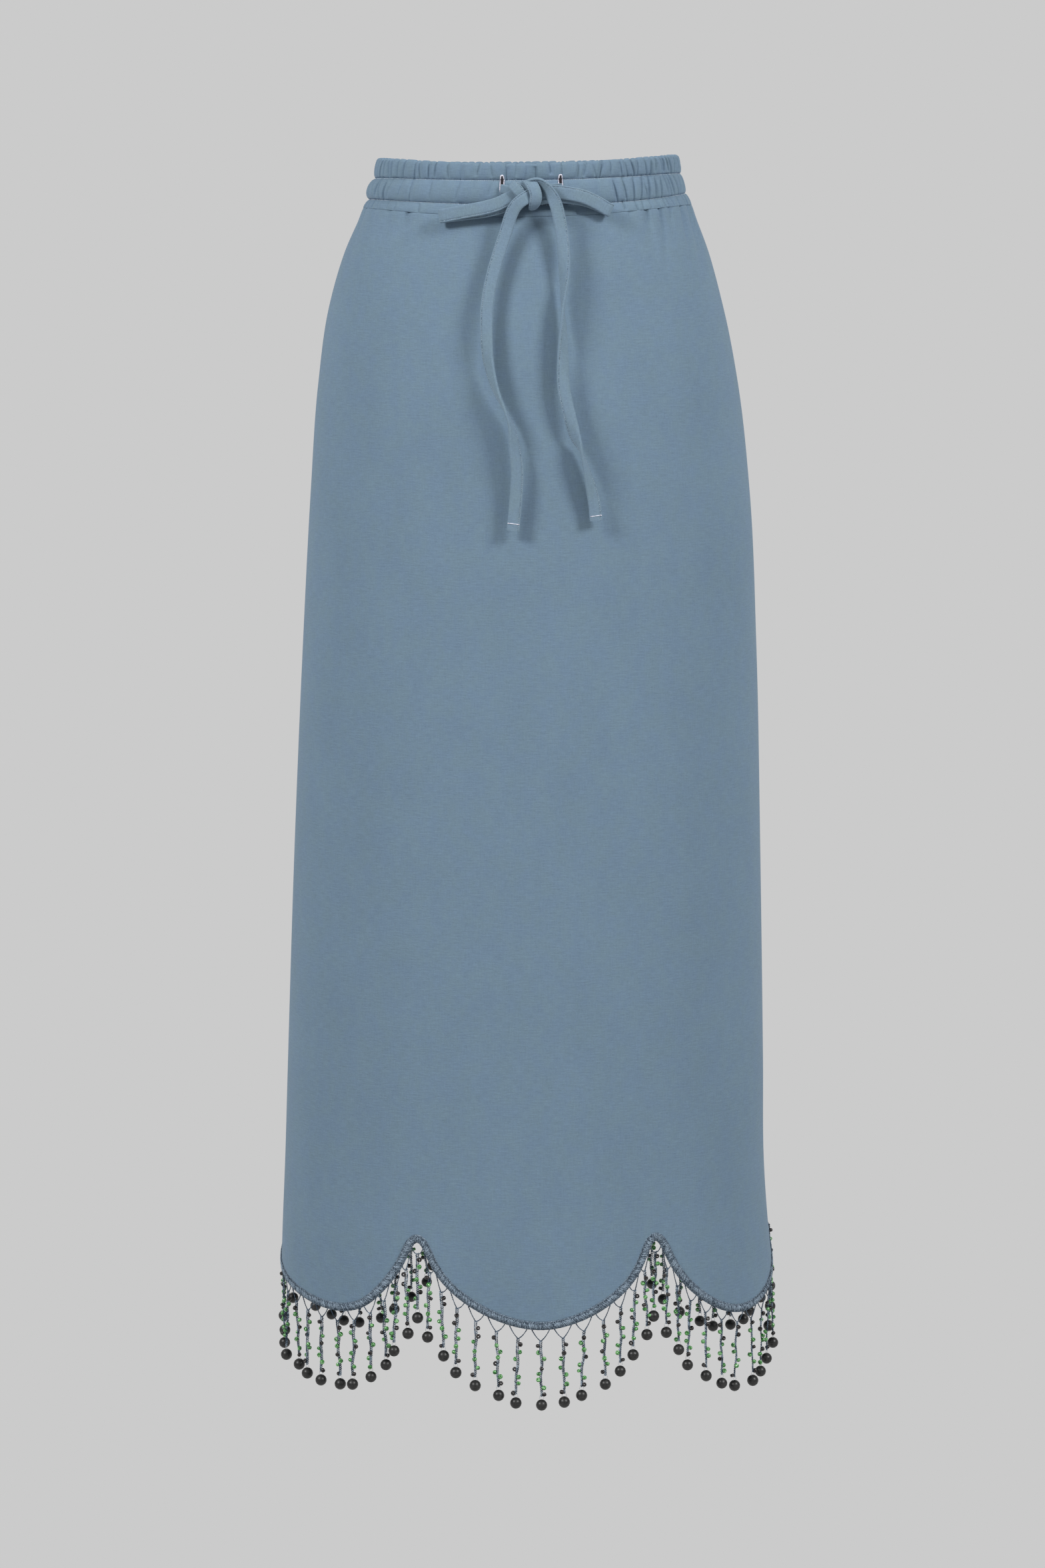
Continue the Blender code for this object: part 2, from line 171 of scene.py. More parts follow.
def hem_fall(distance, half_span):
    """How far the trim's lower edge falls, a distance from the nearest peak."""
    reach = distance / half_span
    eased = half_span * (reach - reach ** 4 / 4)
    rounded = (eased ** 4 + HEM_PEAK_RADIUS ** 4) ** 0.25 - HEM_PEAK_RADIUS
    return HEM_DEPTH * (rounded / HEM_REACH) ** HEM_POWER


def hem_edge(side, columns=58, crowding=1.30):
    """The trim's lower edge from seam to seam, as rows of (arc, drop).

    Each half of a scallop has a number of columns, crowded towards its peak.
    """
    arcs = np.interp(np.radians(PEAKS[side]), HEM_ANGLES, HEM_ARCS)
    scallops = zip(arcs[:-1], arcs[1:], SCALLOP_DEPTHS[side], SCALLOP_LEANS[side])
    edge = []
    for first, last, depth, lean in scallops:
        half_span = (last - first) / 2
        steps = half_span * (np.arange(columns + 1) / columns) ** crowding
        falls = depth * hem_fall(steps, half_span)
        steps = np.concatenate((steps, 2 * half_span - steps[-2:0:-1]))
        falls = np.concatenate((falls, falls[-2:0:-1]))
        leant = steps + 2 * half_span * lean * np.sin(0.5 * math.pi * steps / half_span) ** 2
        edge += list(zip(first + leant, HEM_PEAK_DROP + falls))
    edge.append((arcs[-1], HEM_PEAK_DROP))
    edge = np.array(edge)
    edge[0, 0] += SEAM_GAP / 2
    edge[-1, 0] -= SEAM_GAP / 2
    return edge


def raised_edge(edge, height):
    """The hem edge moved up into the cloth, square to itself."""
    ways = np.gradient(edge, axis=0)
    ways[[0, -1]] = (1, 0)
    ways /= np.linalg.norm(ways, axis=1, keepdims=True)
    return edge + height * np.stack((ways[:, 1], -ways[:, 0]), -1)


def grid_object(name, points, uvs, material, loop_rows=False, loop_columns=False, capped=False):
    """A mesh over a grid of points, closed round either way if asked."""
    rows, columns = points.shape[:2]
    index = np.arange(rows * columns).reshape(rows, columns)
    if loop_columns:
        index = np.concatenate((index, index[:, :1]), 1)
    if loop_rows:
        index = np.concatenate((index, index[:1]), 0)
    quads = np.stack((index[:-1, :-1], index[1:, :-1], index[1:, 1:], index[:-1, 1:]), -1)
    corners = np.stack((uvs[:-1, :-1], uvs[1:, :-1], uvs[1:, 1:], uvs[:-1, 1:]), 2).reshape(-1, 2)
    faces = quads.reshape(-1, 4).tolist()
    if capped:
        faces += [index[0, :-1].tolist(), index[-1, -2::-1].tolist()]
        corners = np.concatenate((corners, uvs[0, :-1], uvs[-1, -2::-1]))
    mesh = bpy.data.meshes.new(name)
    mesh.from_pydata(points.reshape(-1, 3).tolist(), [], faces)
    mesh.uv_layers.new(name="cloth").data.foreach_set("uv", corners.astype(np.float32).ravel())
    mesh.shade_smooth()
    made = bpy.data.objects.new(name, mesh)
    mesh.materials.append(material)
    bpy.context.scene.collection.objects.link(made)
    return made


def add_node(tree, kind, inputs=None, **settings):
    """A node with its settings, and its inputs set or linked by name."""
    node = tree.nodes.new(kind)
    for key, value in settings.items():
        setattr(node, key, value)
    for key, value in (inputs or {}).items():
        socket = node.inputs[key] if isinstance(key, int) else next(
            put for put in node.inputs if put.name == key and put.enabled)
        if isinstance(value, bpy.types.NodeSocket):
            tree.links.new(value, socket)
        else:
            socket.default_value = value
    return node


def start_material(name, roughness, **sockets):
    """A material, its node tree and its Principled shader."""
    made = bpy.data.materials.new(name)
    made.use_nodes = True
    shader = made.node_tree.nodes["Principled BSDF"]
    shader.inputs["Roughness"].default_value = roughness
    for socket, value in sockets.items():
        shader.inputs[socket.replace("_", " ")].default_value = value
    return made, made.node_tree, shader


def jersey_material(name, colour, slub_length=0.009):
    """Heathered single jersey: fine slubs across, knit ribs and soft clouds."""
    made, tree, shader = start_material(name, 0.92, Sheen_Weight=0.18, Sheen_Roughness=0.5,
                                        Specular_IOR_Level=0.25)
    shader.inputs["Sheen Tint"].default_value = (0.75, 0.85, 0.95, 1)
    cloth = add_node(tree, "ShaderNodeUVMap", uv_map="cloth").outputs["UV"]

    def noise(width, height, detail, rough=0.6):
        place = add_node(tree, "ShaderNodeMapping", {"Vector": cloth,
                                                     "Scale": (1 / width, 1 / height, 1)})
        return add_node(tree, "ShaderNodeTexNoise",
                        {"Vector": place.outputs["Vector"], "Scale": 1.0, "Detail": detail,
                         "Roughness": rough}, noise_dimensions="2D").outputs["Fac"]

    def math_node(operation, first, second):
        return add_node(tree, "ShaderNodeMath", {0: first, 1: second},
                        operation=operation).outputs[0]

    slubs = noise(slub_length, 0.0013, 3.0, 0.75)
    wales = noise(0.0009, 0.0090, 3.0, 0.7)
    fibres = noise(0.0016, 0.0013, 3.0, 0.75)
    clouds = noise(0.055, 0.080, 2.0)
    split = add_node(tree, "ShaderNodeSeparateXYZ", {"Vector": cloth})
    ribs = math_node("SINE", math_node("MULTIPLY", split.outputs["X"], 2 * math.pi / 0.0011), 0.0)
    value = 1.0
    for field, strength in ((slubs, 0.34), (wales, 0.20), (fibres, 0.22), (clouds, 0.10)):
        value = math_node("ADD", value, math_node("MULTIPLY", math_node("SUBTRACT", field, 0.5),
                                                  strength))
    value = math_node("ADD", value, math_node("MULTIPLY", ribs, 0.008))
    faded = (colour[0] * 1.03, colour[1] * 1.025, colour[2] * 0.965, 1)
    worn = add_node(tree, "ShaderNodeMapRange", {"Value": noise(0.016, 0.024, 3.0, 0.7),
                                                 "From Min": 0.36, "From Max": 0.64})
    hues = add_node(tree, "ShaderNodeMix", {"Factor": worn.outputs["Result"], "A": (*colour, 1),
                                            "B": faded}, data_type="RGBA")
    tinted = add_node(tree, "ShaderNodeHueSaturation", {"Value": value,
                                                        "Color": hues.outputs["Result"]})
    tree.links.new(tinted.outputs["Color"], shader.inputs["Base Color"])
    relief = math_node("ADD", math_node("MULTIPLY", ribs, 0.07),
                       math_node("ADD", slubs, math_node("MULTIPLY", fibres, 0.6)))
    bump = add_node(tree, "ShaderNodeBump", {"Height": relief, "Strength": 0.35,
                                             "Distance": 0.0004})
    tree.links.new(bump.outputs["Normal"], shader.inputs["Normal"])
    return made


JERSEY = jersey_material("jersey", (0.153, 0.226, 0.307))

# Gathers under the waist seam: angle in degrees, length, depth, lean and steep side
Gather = namedtuple("Gather", "degrees length depth lean steep")
FRONT_GATHERS = (
    Gather(-79, 0.060, 0.0022, 0.42, 1), Gather(-66, 0.045, 0.0012, 0.30, -1),
    Gather(-45.6, 0.034, 0.0026, -0.28, 1), Gather(-55, 0.028, 0.0012, 0.20, -1),
    Gather(37, 0.026, 0.0010, -0.20, 1), Gather(45.5, 0.050, 0.0030, -0.10, -1),
    Gather(52.0, 0.070, 0.0032, -0.22, 1), Gather(58.5, 0.035, 0.0018, -0.40, -1),
    Gather(67.0, 0.090, 0.0032, -0.30, 1), Gather(76.0, 0.085, 0.0032, -0.36, -1),
)

# The waist's mean radius, and how wide a gather's two sides are at the seam and grow below it
GATHER_RADIUS = 0.145
STEEP_WIDTH, STEEP_GROWTH = 0.0012, 0.0040
SOFT_WIDTH, SOFT_GROWTH = 0.0034, 0.0080
gather_draws = np.random.default_rng(11)
GATHERS = FRONT_GATHERS + tuple(
    Gather(float(degrees + gather_draws.uniform(-2, 2)), float(gather_draws.uniform(0.04, 0.12)),
           float(gather_draws.uniform(0.0018, 0.0034)),
           float(gather_draws.uniform(-0.1, 0.1) - 0.3 * math.sin(math.radians(degrees))),
           int(gather_draws.choice((-1, 1))))
    for degrees in np.arange(82, 276, 6.5))


def fold_shape(aside, steep, soft):
    """A fold of cloth across: steep on one side of its valley, soft on the other."""
    return np.exp(-np.abs(aside / np.where(aside < 0, steep, soft)) ** 1.3)


def gather_depth(angle, drop):
    """How far the gathers' valleys pull the cloth in."""
    below = drop - BAND_HEIGHT
    depth = np.zeros_like(below)
    for gather in GATHERS:
        share = np.clip(below / gather.length, 0, 1)
        turn = (angle - math.radians(gather.degrees) + math.pi) % (2 * math.pi) - math.pi
        aside = gather.steep * (GATHER_RADIUS * turn - gather.lean * below)
        depth += gather.depth * (1 - share) ** 1.4 * fold_shape(
            aside, STEEP_WIDTH + STEEP_GROWTH * share, SOFT_WIDTH + SOFT_GROWTH * share)
    return depth


# Rows of a panel's grid, as shares of the way down: closer at both ends
ROW_SHARES = np.concatenate((np.linspace(0, 0.994, 98) ** 1.5, (0.9965, 0.9990, 1)))


def build_panel(side):
    """An open grid from the waist seam to the scallops, with a cloth wall."""
    edge = raised_edge(hem_edge(side), TRIM_WIDTH + SEAM_GAP)
    edge[0, 0] -= SEAM_GAP
    edge[-1, 0] += SEAM_GAP
    angles = np.interp(edge[:, 0], HEM_ARCS, HEM_ANGLES)
    drops = BAND_HEIGHT + (edge[:, 1] - BAND_HEIGHT) * ROW_SHARES[:, None]
    drops = np.concatenate((np.full((1, len(edge)), BAND_HEIGHT - SEAM_ALLOWANCE), drops))
    angles = np.broadcast_to(angles, drops.shape)
    to_seam = np.minimum(edge[:, 0] - edge[0, 0], edge[-1, 0] - edge[:, 0])
    seam_tuck = SEAM_TUCK * np.exp(-(to_seam / TUCK_REACH) ** 2)
    waist_tuck = WAIST_TUCK * np.exp(-((drops - BAND_HEIGHT) / TUCK_REACH) ** 2)
    outs = -gather_depth(angles, drops) - seam_tuck - waist_tuck
    outs[0] = HIDDEN_EDGE_OUT
    width = section_sizes(drops)[0] / section_sizes(np.array(HEM_RING_DROP))[0]
    uvs = np.stack(((edge[:, 0] - edge[:, 0].mean()) * width, -drops), -1)
    panel = grid_object(side + "_skirt_panel", skirt_points(angles, drops, outs), uvs, JERSEY)
    wall = panel.modifiers.new("wall", "SOLIDIFY")
    wall.thickness = CLOTH_WALL
    wall.offset = -1
    wall.use_even_offset = True
    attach(panel, "root")
    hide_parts(side + "_panel")


for side in PEAKS:
    build_panel(side)

# Waistband
# One strip of the same jersey, folded over elastic and gathered all round. Two
# rows of stitching part it into two puffed channels and a narrow flat band,
# and the waist seam joins it to the panels.
BAND_WALL = 0.0070
BandRow = namedtuple("BandRow", "drop out puff")
BAND_ROWS = (
    BandRow(0.0000, -0.0022, 0.0014),
    BandRow(0.0135, -0.0036, 0.0024),
    BandRow(0.0330, -0.0030, 0.0010),
    BandRow(BAND_HEIGHT - SEAM_GAP, -0.0004, 0.0),
)
STITCH_LINES = (BAND_ROWS[1].drop, BAND_ROWS[2].drop)
BAND_COLUMNS = 1480
FOLD_RADIUS = 0.0022

# Angles from the middle over which the gathers set in, and how much fuller the
# second channel is on the left and thinner on the right
LEFT_SPAN = 1.25
RIGHT_START, RIGHT_SPAN = 0.05, 0.60
FULLER_LEFT, THINNER_RIGHT = 0.9, 0.35

# Shapes of the creases, the stitched grooves, the lines' sag and the top edge's ruffle
CREASE_FADE = 0.0012
INNER_CREASE = 0.3
GROOVE_WIDTH = 0.0007
GROOVE_DEPTH, GROOVE_GATHER = 0.0003, 0.0009
FIRST_SAGS = (0.0040, 0.0029)
SECOND_SAGS = (0.0029, 0.0020)
RUFFLE_REACH = 0.008
RUFFLE_SHARE = 0.60
CLOTH_PER_ARC = 1.4
UNDERSIDE = 0.003
BAND_ANGLES, BAND_ARCS = arc_table(0.02, -180.0, 180.0, BAND_COLUMNS)

# Creases of the gathers: place along the band, drop from and to, and their shape
Crease = namedtuple("Crease", "arc top bottom depth steep soft lean hand")


def side_share(angle):
    """0 at the smooth front of the band, 1 where it is fully gathered."""
    return np.clip(np.where(angle < 0, -angle / LEFT_SPAN, (angle - RIGHT_START) / RIGHT_SPAN),
                   0, 1) ** 1.5


def draw_creases(draws, channel, spacings, depths):
    """Irregular creases round one channel, denser and deeper at the sides."""
    top, bottom = BAND_ROWS[channel].drop, BAND_ROWS[channel + 1].drop
    creases = []
    arc = float(draws.uniform(0, 0.004))
    while arc < BAND_ARCS[-1]:
        side = float(side_share(np.interp(arc, BAND_ARCS, BAND_ANGLES)))
        depth = (depths[0] + (depths[1] - depths[0]) * side) * draws.uniform(0.45, 1.25)
        reach = (bottom - top) * (draws.uniform(0.55, 1.0) * (1 - side)
                                  + draws.uniform(0.8, 1.0) * side)
        start = top if draws.random() < 0.6 else bottom - reach
        creases.append(Crease(arc, start, start + reach, depth, draws.uniform(0.0005, 0.0009),
                              draws.uniform(0.0011, 0.0018) + 0.0016 * (1 - side),
                              draws.uniform(-0.30, 0.30), int(draws.choice((-1, 1)))))
        arc += (spacings[0] + (spacings[1] - spacings[0]) * side) * draws.uniform(0.5, 1.5)
    return creases


def crease_depth(arcs, drops, creases):
    """How far the creases pull the band in, at a grid of places."""
    length = BAND_ARCS[-1]
    depth = np.zeros(np.broadcast(arcs, drops).shape)
    for crease in creases:
        half = (crease.bottom - crease.top) / 2
        off = drops - (crease.bottom + crease.top) / 2
        aside = (arcs - crease.arc - crease.lean * off + length / 2) % length - length / 2
        along = np.clip(1 - np.abs(off / (half + CREASE_FADE)) ** 4, 0, 1)
        depth += crease.depth * along * fold_shape(crease.hand * aside, crease.steep, crease.soft)
    return depth


def band_out(drops, angles):
    """Distance of the band's face from the skirt's surface, creases left out."""
    rows = np.array(BAND_ROWS)
    base = np.interp(drops, rows[:, 0], rows[:, 1])
    channel = np.clip(np.searchsorted(rows[:, 0], drops, side="right") - 1, 0, len(rows) - 2)
    share = (drops - rows[channel, 0]) / (rows[channel + 1, 0] - rows[channel, 0])
    left, right = np.clip(-np.sin(angles), 0, 1) ** 4, np.clip(np.sin(angles), 0, 1) ** 4
    fuller = 1 + (channel == 1) * (FULLER_LEFT * left - THINNER_RIGHT * right)
    puffed = base + rows[channel, 2] * fuller * (1 - np.abs(2 * np.clip(share, 0, 1) - 1) ** 2.4)
    groove = sum(np.exp(-np.abs((drops - line) / GROOVE_WIDTH) ** 1.5) for line in STITCH_LINES)
    return puffed - groove * (GROOVE_DEPTH + GROOVE_GATHER * side_share(angles))


def band_drop(drops, angles):
    """The real drop of a place in the band: its two lines sag towards the sides."""
    left, right = np.clip(-np.sin(angles), 0, 1) ** 2, np.clip(np.sin(angles), 0, 1) ** 2
    lean = np.clip(np.sin(2 * angles), 0, 1) * (angles > 0)
    stops = [row.drop for row in BAND_ROWS]
    first = np.interp(drops, stops, (0, 1, 0, 0))
    second = np.interp(drops, stops, (0, 0, 1, 0))
    return (drops + first * (FIRST_SAGS[0] * left + FIRST_SAGS[1] * right)
            + second * (SECOND_SAGS[0] * left + SECOND_SAGS[1] * lean))


crease_draws = np.random.default_rng(23)
CREASES = (draw_creases(crease_draws, 0, (0.0125, 0.0062), (0.0017, 0.0025))
           + draw_creases(crease_draws, 1, (0.0260, 0.0062), (0.0011, 0.0027))
           + draw_creases(crease_draws, 2, (0.0400, 0.0080), (0.0008, 0.0018)))


def row_drops(per_row):
    """Drops down the band's face, closer together at the stitch lines."""
    stops = [row.drop for row in BAND_ROWS]
    stops[0] = FOLD_RADIUS
    turns = (1 - np.cos(np.linspace(0, math.pi, per_row + 1))) / 2
    steps = 0.5 * turns + 0.5 * np.linspace(0, 1, per_row + 1)
    drops = [first + (last - first) * steps[:-1] for first, last in zip(stops[:-1], stops[1:])]
    return np.concatenate((*drops, stops[-1:]))


def build_waistband():
    """A closed ring: channels outside, a folded top edge, a plain inside."""
    outside = row_drops(15)[::-1]
    turns = np.linspace(0, math.pi, 8)[1:-1]
    inside = np.linspace(FOLD_RADIUS, BAND_HEIGHT - SEAM_GAP, 7)
    fold_drops = FOLD_RADIUS * (1 - np.sin(turns))
    drops = np.concatenate((outside, fold_drops, inside))[:, None]
    arcs, angles = BAND_ARCS[None, :-1], BAND_ANGLES[None, :-1]
    creased = crease_depth(arcs, drops, CREASES)
    outs = band_out(drops, angles) - creased
    fold = slice(len(outside), len(outside) + len(turns))
    outs[fold] = outs[len(outside) - 1] - FOLD_RADIUS * (1 - np.cos(turns))[:, None]
    outs[fold.stop:] = -BAND_WALL + INNER_CREASE * creased[fold.stop:]
    tops = np.clip(1 - drops / RUFFLE_REACH, 0, 1)
    ruffle = crease_depth(arcs, np.full((1, 1), RUFFLE_REACH / 2), CREASES)
    points = skirt_points(angles, band_drop(drops, angles) + tops * RUFFLE_SHARE * ruffle, outs)
    path = np.concatenate((outside, -fold_drops, -inside, [-BAND_HEIGHT - UNDERSIDE]))
    uvs = np.stack(np.broadcast_arrays(CLOTH_PER_ARC * BAND_ARCS[None, :], -path[:, None]), -1)
    band = grid_object("gathered_waistband", points[::-1], uvs[::-1], JERSEY,
                       loop_rows=True, loop_columns=True)
    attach(band, "root")
    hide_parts("waistband")


build_waistband()


def thread_material(name, dark, light, roughness=0.75):
    """Thread of dark and light fibres, mixed by the stitch and along it."""
    made, tree, shader = start_material(name, roughness, Specular_IOR_Level=0.3)
    tint = add_node(tree, "ShaderNodeAttribute", attribute_name="tint").outputs["Fac"]
    place = add_node(tree, "ShaderNodeTexCoord").outputs["Object"]
    fibres = add_node(tree, "ShaderNodeTexNoise", {"Vector": place, "Scale": 900.0, "Detail": 2.0})
    mixed = add_node(tree, "ShaderNodeMath", {0: fibres.outputs["Fac"], 1: tint}, operation="ADD")
    ramp = add_node(tree, "ShaderNodeValToRGB", {"Fac": mixed.outputs[0]})
    ramp.color_ramp.elements[0].position = 0.55
    ramp.color_ramp.elements[0].color = (*dark, 1)
    ramp.color_ramp.elements[1].position = 1.0
    ramp.color_ramp.elements[1].color = (*light, 1)
    tree.links.new(ramp.outputs["Color"], shader.inputs["Base Color"])
    bump = add_node(tree, "ShaderNodeBump", {"Height": fibres.outputs["Fac"], "Strength": 0.5,
                                             "Distance": 0.0003})
    tree.links.new(bump.outputs["Normal"], shader.inputs["Normal"])
    return made


def start_tree(name, numbers):
    """A node group that works on a mesh, with some numbers and a material."""
    tree = bpy.data.node_groups.new(name, "GeometryNodeTree")
    sockets = tree.interface
    sockets.new_socket("Geometry", in_out="INPUT", socket_type="NodeSocketGeometry")
    for label, value in numbers.items():
        kind = "NodeSocketInt" if isinstance(value, int) else "NodeSocketFloat"
        sockets.new_socket(label, in_out="INPUT", socket_type=kind).default_value = value
    sockets.new_socket("Material", in_out="INPUT", socket_type="NodeSocketMaterial")
    sockets.new_socket("Geometry", in_out="OUTPUT", socket_type="NodeSocketGeometry")
    return tree, tree.nodes.new("NodeGroupInput").outputs


def end_tree(tree, geometry, material):
    """The node group's end: real meshes with the material on them."""
    real = add_node(tree, "GeometryNodeRealizeInstances", {"Geometry": geometry})
    dressed = add_node(tree, "GeometryNodeSetMaterial", {"Geometry": real.outputs["Geometry"],
                                                         "Material": material})
    add_node(tree, "NodeGroupOutput", {"Geometry": dressed.outputs["Geometry"]})
    return tree


def repeat_tree(name, shape):
    """A node group that sets a small shape on every point of a mesh.

    A point's along and out attributes turn the shape, and its size scales it.
    """
    tree, given = start_tree(name, {"Length": 0.002, "Width": 0.001, "Height": 0.001,
                                    "Variation": 0.1, "Seed": 1})
    if shape == "ring":
        hoop, wire = (add_node(tree, "GeometryNodeCurvePrimitiveCircle",
                               {"Resolution": steps, "Radius": radius})
                      for steps, radius in ((12, 0.30), (8, 0.20)))
        made = add_node(tree, "GeometryNodeCurveToMesh", {"Curve": hoop.outputs["Curve"],
                                                          "Profile Curve": wire.outputs["Curve"]})
    else:
        segments, rings = {"stitch": (5, 3), "ball": (20, 12)}[shape]
        made = add_node(tree, "GeometryNodeMeshUVSphere", {"Segments": segments, "Rings": rings,
                                                           "Radius": 0.5})
    smooth = add_node(tree, "GeometryNodeSetShadeSmooth", {"Geometry": made.outputs["Mesh"]})
    sizes = add_node(tree, "ShaderNodeCombineXYZ", {"X": given["Length"], "Y": given["Width"],
                                                    "Z": given["Height"]})
    sized = add_node(tree, "GeometryNodeTransform", {"Geometry": smooth.outputs["Geometry"],
                                                     "Scale": sizes.outputs["Vector"]})

    def point_value(label):
        return add_node(tree, "GeometryNodeInputNamedAttribute", {"Name": label},
                        data_type="FLOAT_VECTOR").outputs["Attribute"]

    turned = add_node(tree, "FunctionNodeAxesToRotation",
                      {"Primary Axis": point_value("along"), "Secondary Axis": point_value("out")},
                      primary_axis="X", secondary_axis="Z")
    least = add_node(tree, "ShaderNodeMath", {0: 1.0, 1: given["Variation"]}, operation="SUBTRACT")
    most = add_node(tree, "ShaderNodeMath", {0: 1.0, 1: given["Variation"]}, operation="ADD")
    varied = add_node(tree, "FunctionNodeRandomValue", {"Seed": given["Seed"]}, data_type="FLOAT")
    tree.links.new(least.outputs[0], varied.inputs[2])
    tree.links.new(most.outputs[0], varied.inputs[3])
    scale = add_node(tree, "ShaderNodeVectorMath", {0: point_value("size")}, operation="SCALE")
    tree.links.new(varied.outputs[1], scale.inputs["Scale"])
    placed = add_node(tree, "GeometryNodeInstanceOnPoints",
                      {"Points": given["Geometry"], "Instance": sized.outputs["Geometry"],
                       "Rotation": turned.outputs["Rotation"], "Scale": scale.outputs["Vector"]})
    return end_tree(tree, placed.outputs["Instances"], given["Material"])


SHAPE_TREES = {shape: repeat_tree("repeated_" + shape, shape)
               for shape in ("stitch", "ring", "ball")}


def run_tree(name, start, tree, inputs):
    """The plain mesh that a node group makes of a start object."""
    modifier = start.modifiers.new("make", "NODES")
    modifier.node_group = tree
    for item in tree.interface.items_tree:
        if item.in_out == "INPUT" and item.name in inputs:
            modifier[item.identifier] = inputs[item.name]
    shown = start.evaluated_get(bpy.context.evaluated_depsgraph_get())
    mesh = bpy.data.meshes.new_from_object(shown)
    mesh.name = name
    bpy.data.objects.remove(start)
    made = bpy.data.objects.new(name, mesh)
    bpy.context.scene.collection.objects.link(made)
    return made


def set_tint(mesh, tints):
    """How light the thread is at each point of a mesh."""
    layer = mesh.attributes.new("tint", "FLOAT", "POINT")
    layer.data.foreach_set("value", np.broadcast_to(tints, len(layer.data)).astype(np.float32))


def repeated(name, shape, points, along, out, material, length, width, height,
             sizes=None, tints=None, variation=0.1, seed=1):
    """Many small shapes at points, as one piece that rides on the skirt."""
    points = np.asarray(points, dtype=float).reshape(-1, 3)
    count = len(points)
    mesh = bpy.data.meshes.new(name + "_points")
    mesh.from_pydata(points.tolist(), [], [])
    for label, values in (("along", along), ("out", out),
                          ("size", np.ones(3) if sizes is None else sizes)):
        values = np.broadcast_to(np.asarray(values, dtype=np.float32), (count, 3))
        layer = mesh.attributes.new(label, "FLOAT_VECTOR", "POINT")
        layer.data.foreach_set("vector", np.ascontiguousarray(values).ravel())
    set_tint(mesh, np.random.default_rng(seed).random(count) if tints is None else tints)
    start = bpy.data.objects.new(name + "_points", mesh)
    bpy.context.scene.collection.objects.link(start)
    made = run_tree(name, start, SHAPE_TREES[shape], {
        "Length": length, "Width": width, "Height": height, "Variation": variation,
        "Seed": seed, "Material": material})
    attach(made, "root")
    return made


PALE_THREAD = thread_material("pale_thread", (0.30, 0.38, 0.47), (0.70, 0.77, 0.84))
BLUE_THREAD = thread_material("blue_thread", (0.07, 0.11, 0.18), (0.22, 0.30, 0.41))
SATIN_THREAD = thread_material("satin_thread", (0.52, 0.50, 0.60), (0.86, 0.84, 0.92), 0.5)


UP = np.array((0, 0, 1.0))
BAND_STITCH = (0.0005, 0.0006)
BAND_STITCH_LIFT = 0.0001


def unit(ways):
    """Directions made one metre long."""
    return ways / np.linalg.norm(ways, axis=-1, keepdims=True)


def sew_band(name, line, thread, pitch, length, shift, zigzag, seed):
    """Machine stitches round the band beside one stitch line."""
    arcs = np.arange(0, BAND_ARCS[-1] - pitch / 2, pitch)
    angles = np.interp(arcs, BAND_ARCS, BAND_ANGLES)
    sign = np.where(np.arange(len(arcs)) % 2, 1, -1) * zigzag
    drops = np.full(len(arcs), line + shift)
    outs = band_out(drops, angles) - crease_depth(arcs, drops, CREASES) + BAND_STITCH_LIFT
    here = skirt_points(angles, band_drop(drops, angles), outs)
    step = np.stack((np.cos(angles), np.sin(angles), 0 * angles), -1)
    along = unit(step + sign[:, None] * UP)
    stitches = repeated(name, "stitch", here, along, outward(angles, drops), thread,
                        length, *BAND_STITCH, seed=seed)


for number, line in enumerate(STITCH_LINES):
    sew_band(f"band_stitches_{number}", line, PALE_THREAD, pitch=0.00175, length=0.0010,
             shift=0.0005, zigzag=0.0, seed=3)
    sew_band(f"band_cover_stitches_{number}", line, BLUE_THREAD, pitch=0.0012, length=0.0012,
             shift=-0.0005, zigzag=0.7, seed=5)

# Buttonholes
# Two upright slits in the front of the band, cut through the second channel
# and edged with pale satin stitches, for the drawstring to come out of. Each
# is filled with a near-black sheet: painted shade for the band's hollow.
BUTTONHOLES = {"left": -0.0211, "right": 0.0291}
HOLE_TOP = 0.0103
HOLE_BOTTOM = 0.0256
HOLE_HALF_WIDTH = 0.0008
SLIT_LIFT = 0.0004
SLIT_DEPTH = 0.0012
EDGING_STITCH = (0.0017, 0.0008, 0.0012)
EDGING_PITCH = 0.00055
# Near-black sheet in each buttonhole: painted shade where the hollow inside the band lies in shadow
HOLE_PAINTED_SHADE, _, hole_shade_shader = start_material("buttonhole_shade", 1.0)
hole_shade_shader.inputs["Base Color"].default_value = (0.02, 0.016, 0.02, 1)


def band_points(x, drop, lift):
    """Points on the front of the band, lifted off its face."""
    half_width, centre_x, _, _ = section_sizes(drop)
    angle = np.arcsin((x - centre_x) / half_width)
    here = skirt_points(angle, band_drop(drop, angle), band_out(drop, angle) + lift)
    return here, outward(angle, drop)


def lengths_along(points):
    """The way along a line of points, from its start to each of them."""
    return np.concatenate(([0], np.cumsum(np.linalg.norm(np.diff(points, axis=0), axis=1))))


def signed_power(wave, power):
    """A wave made squarer, for an oval with flatter sides."""
    return np.sign(wave) * np.abs(wave) ** power


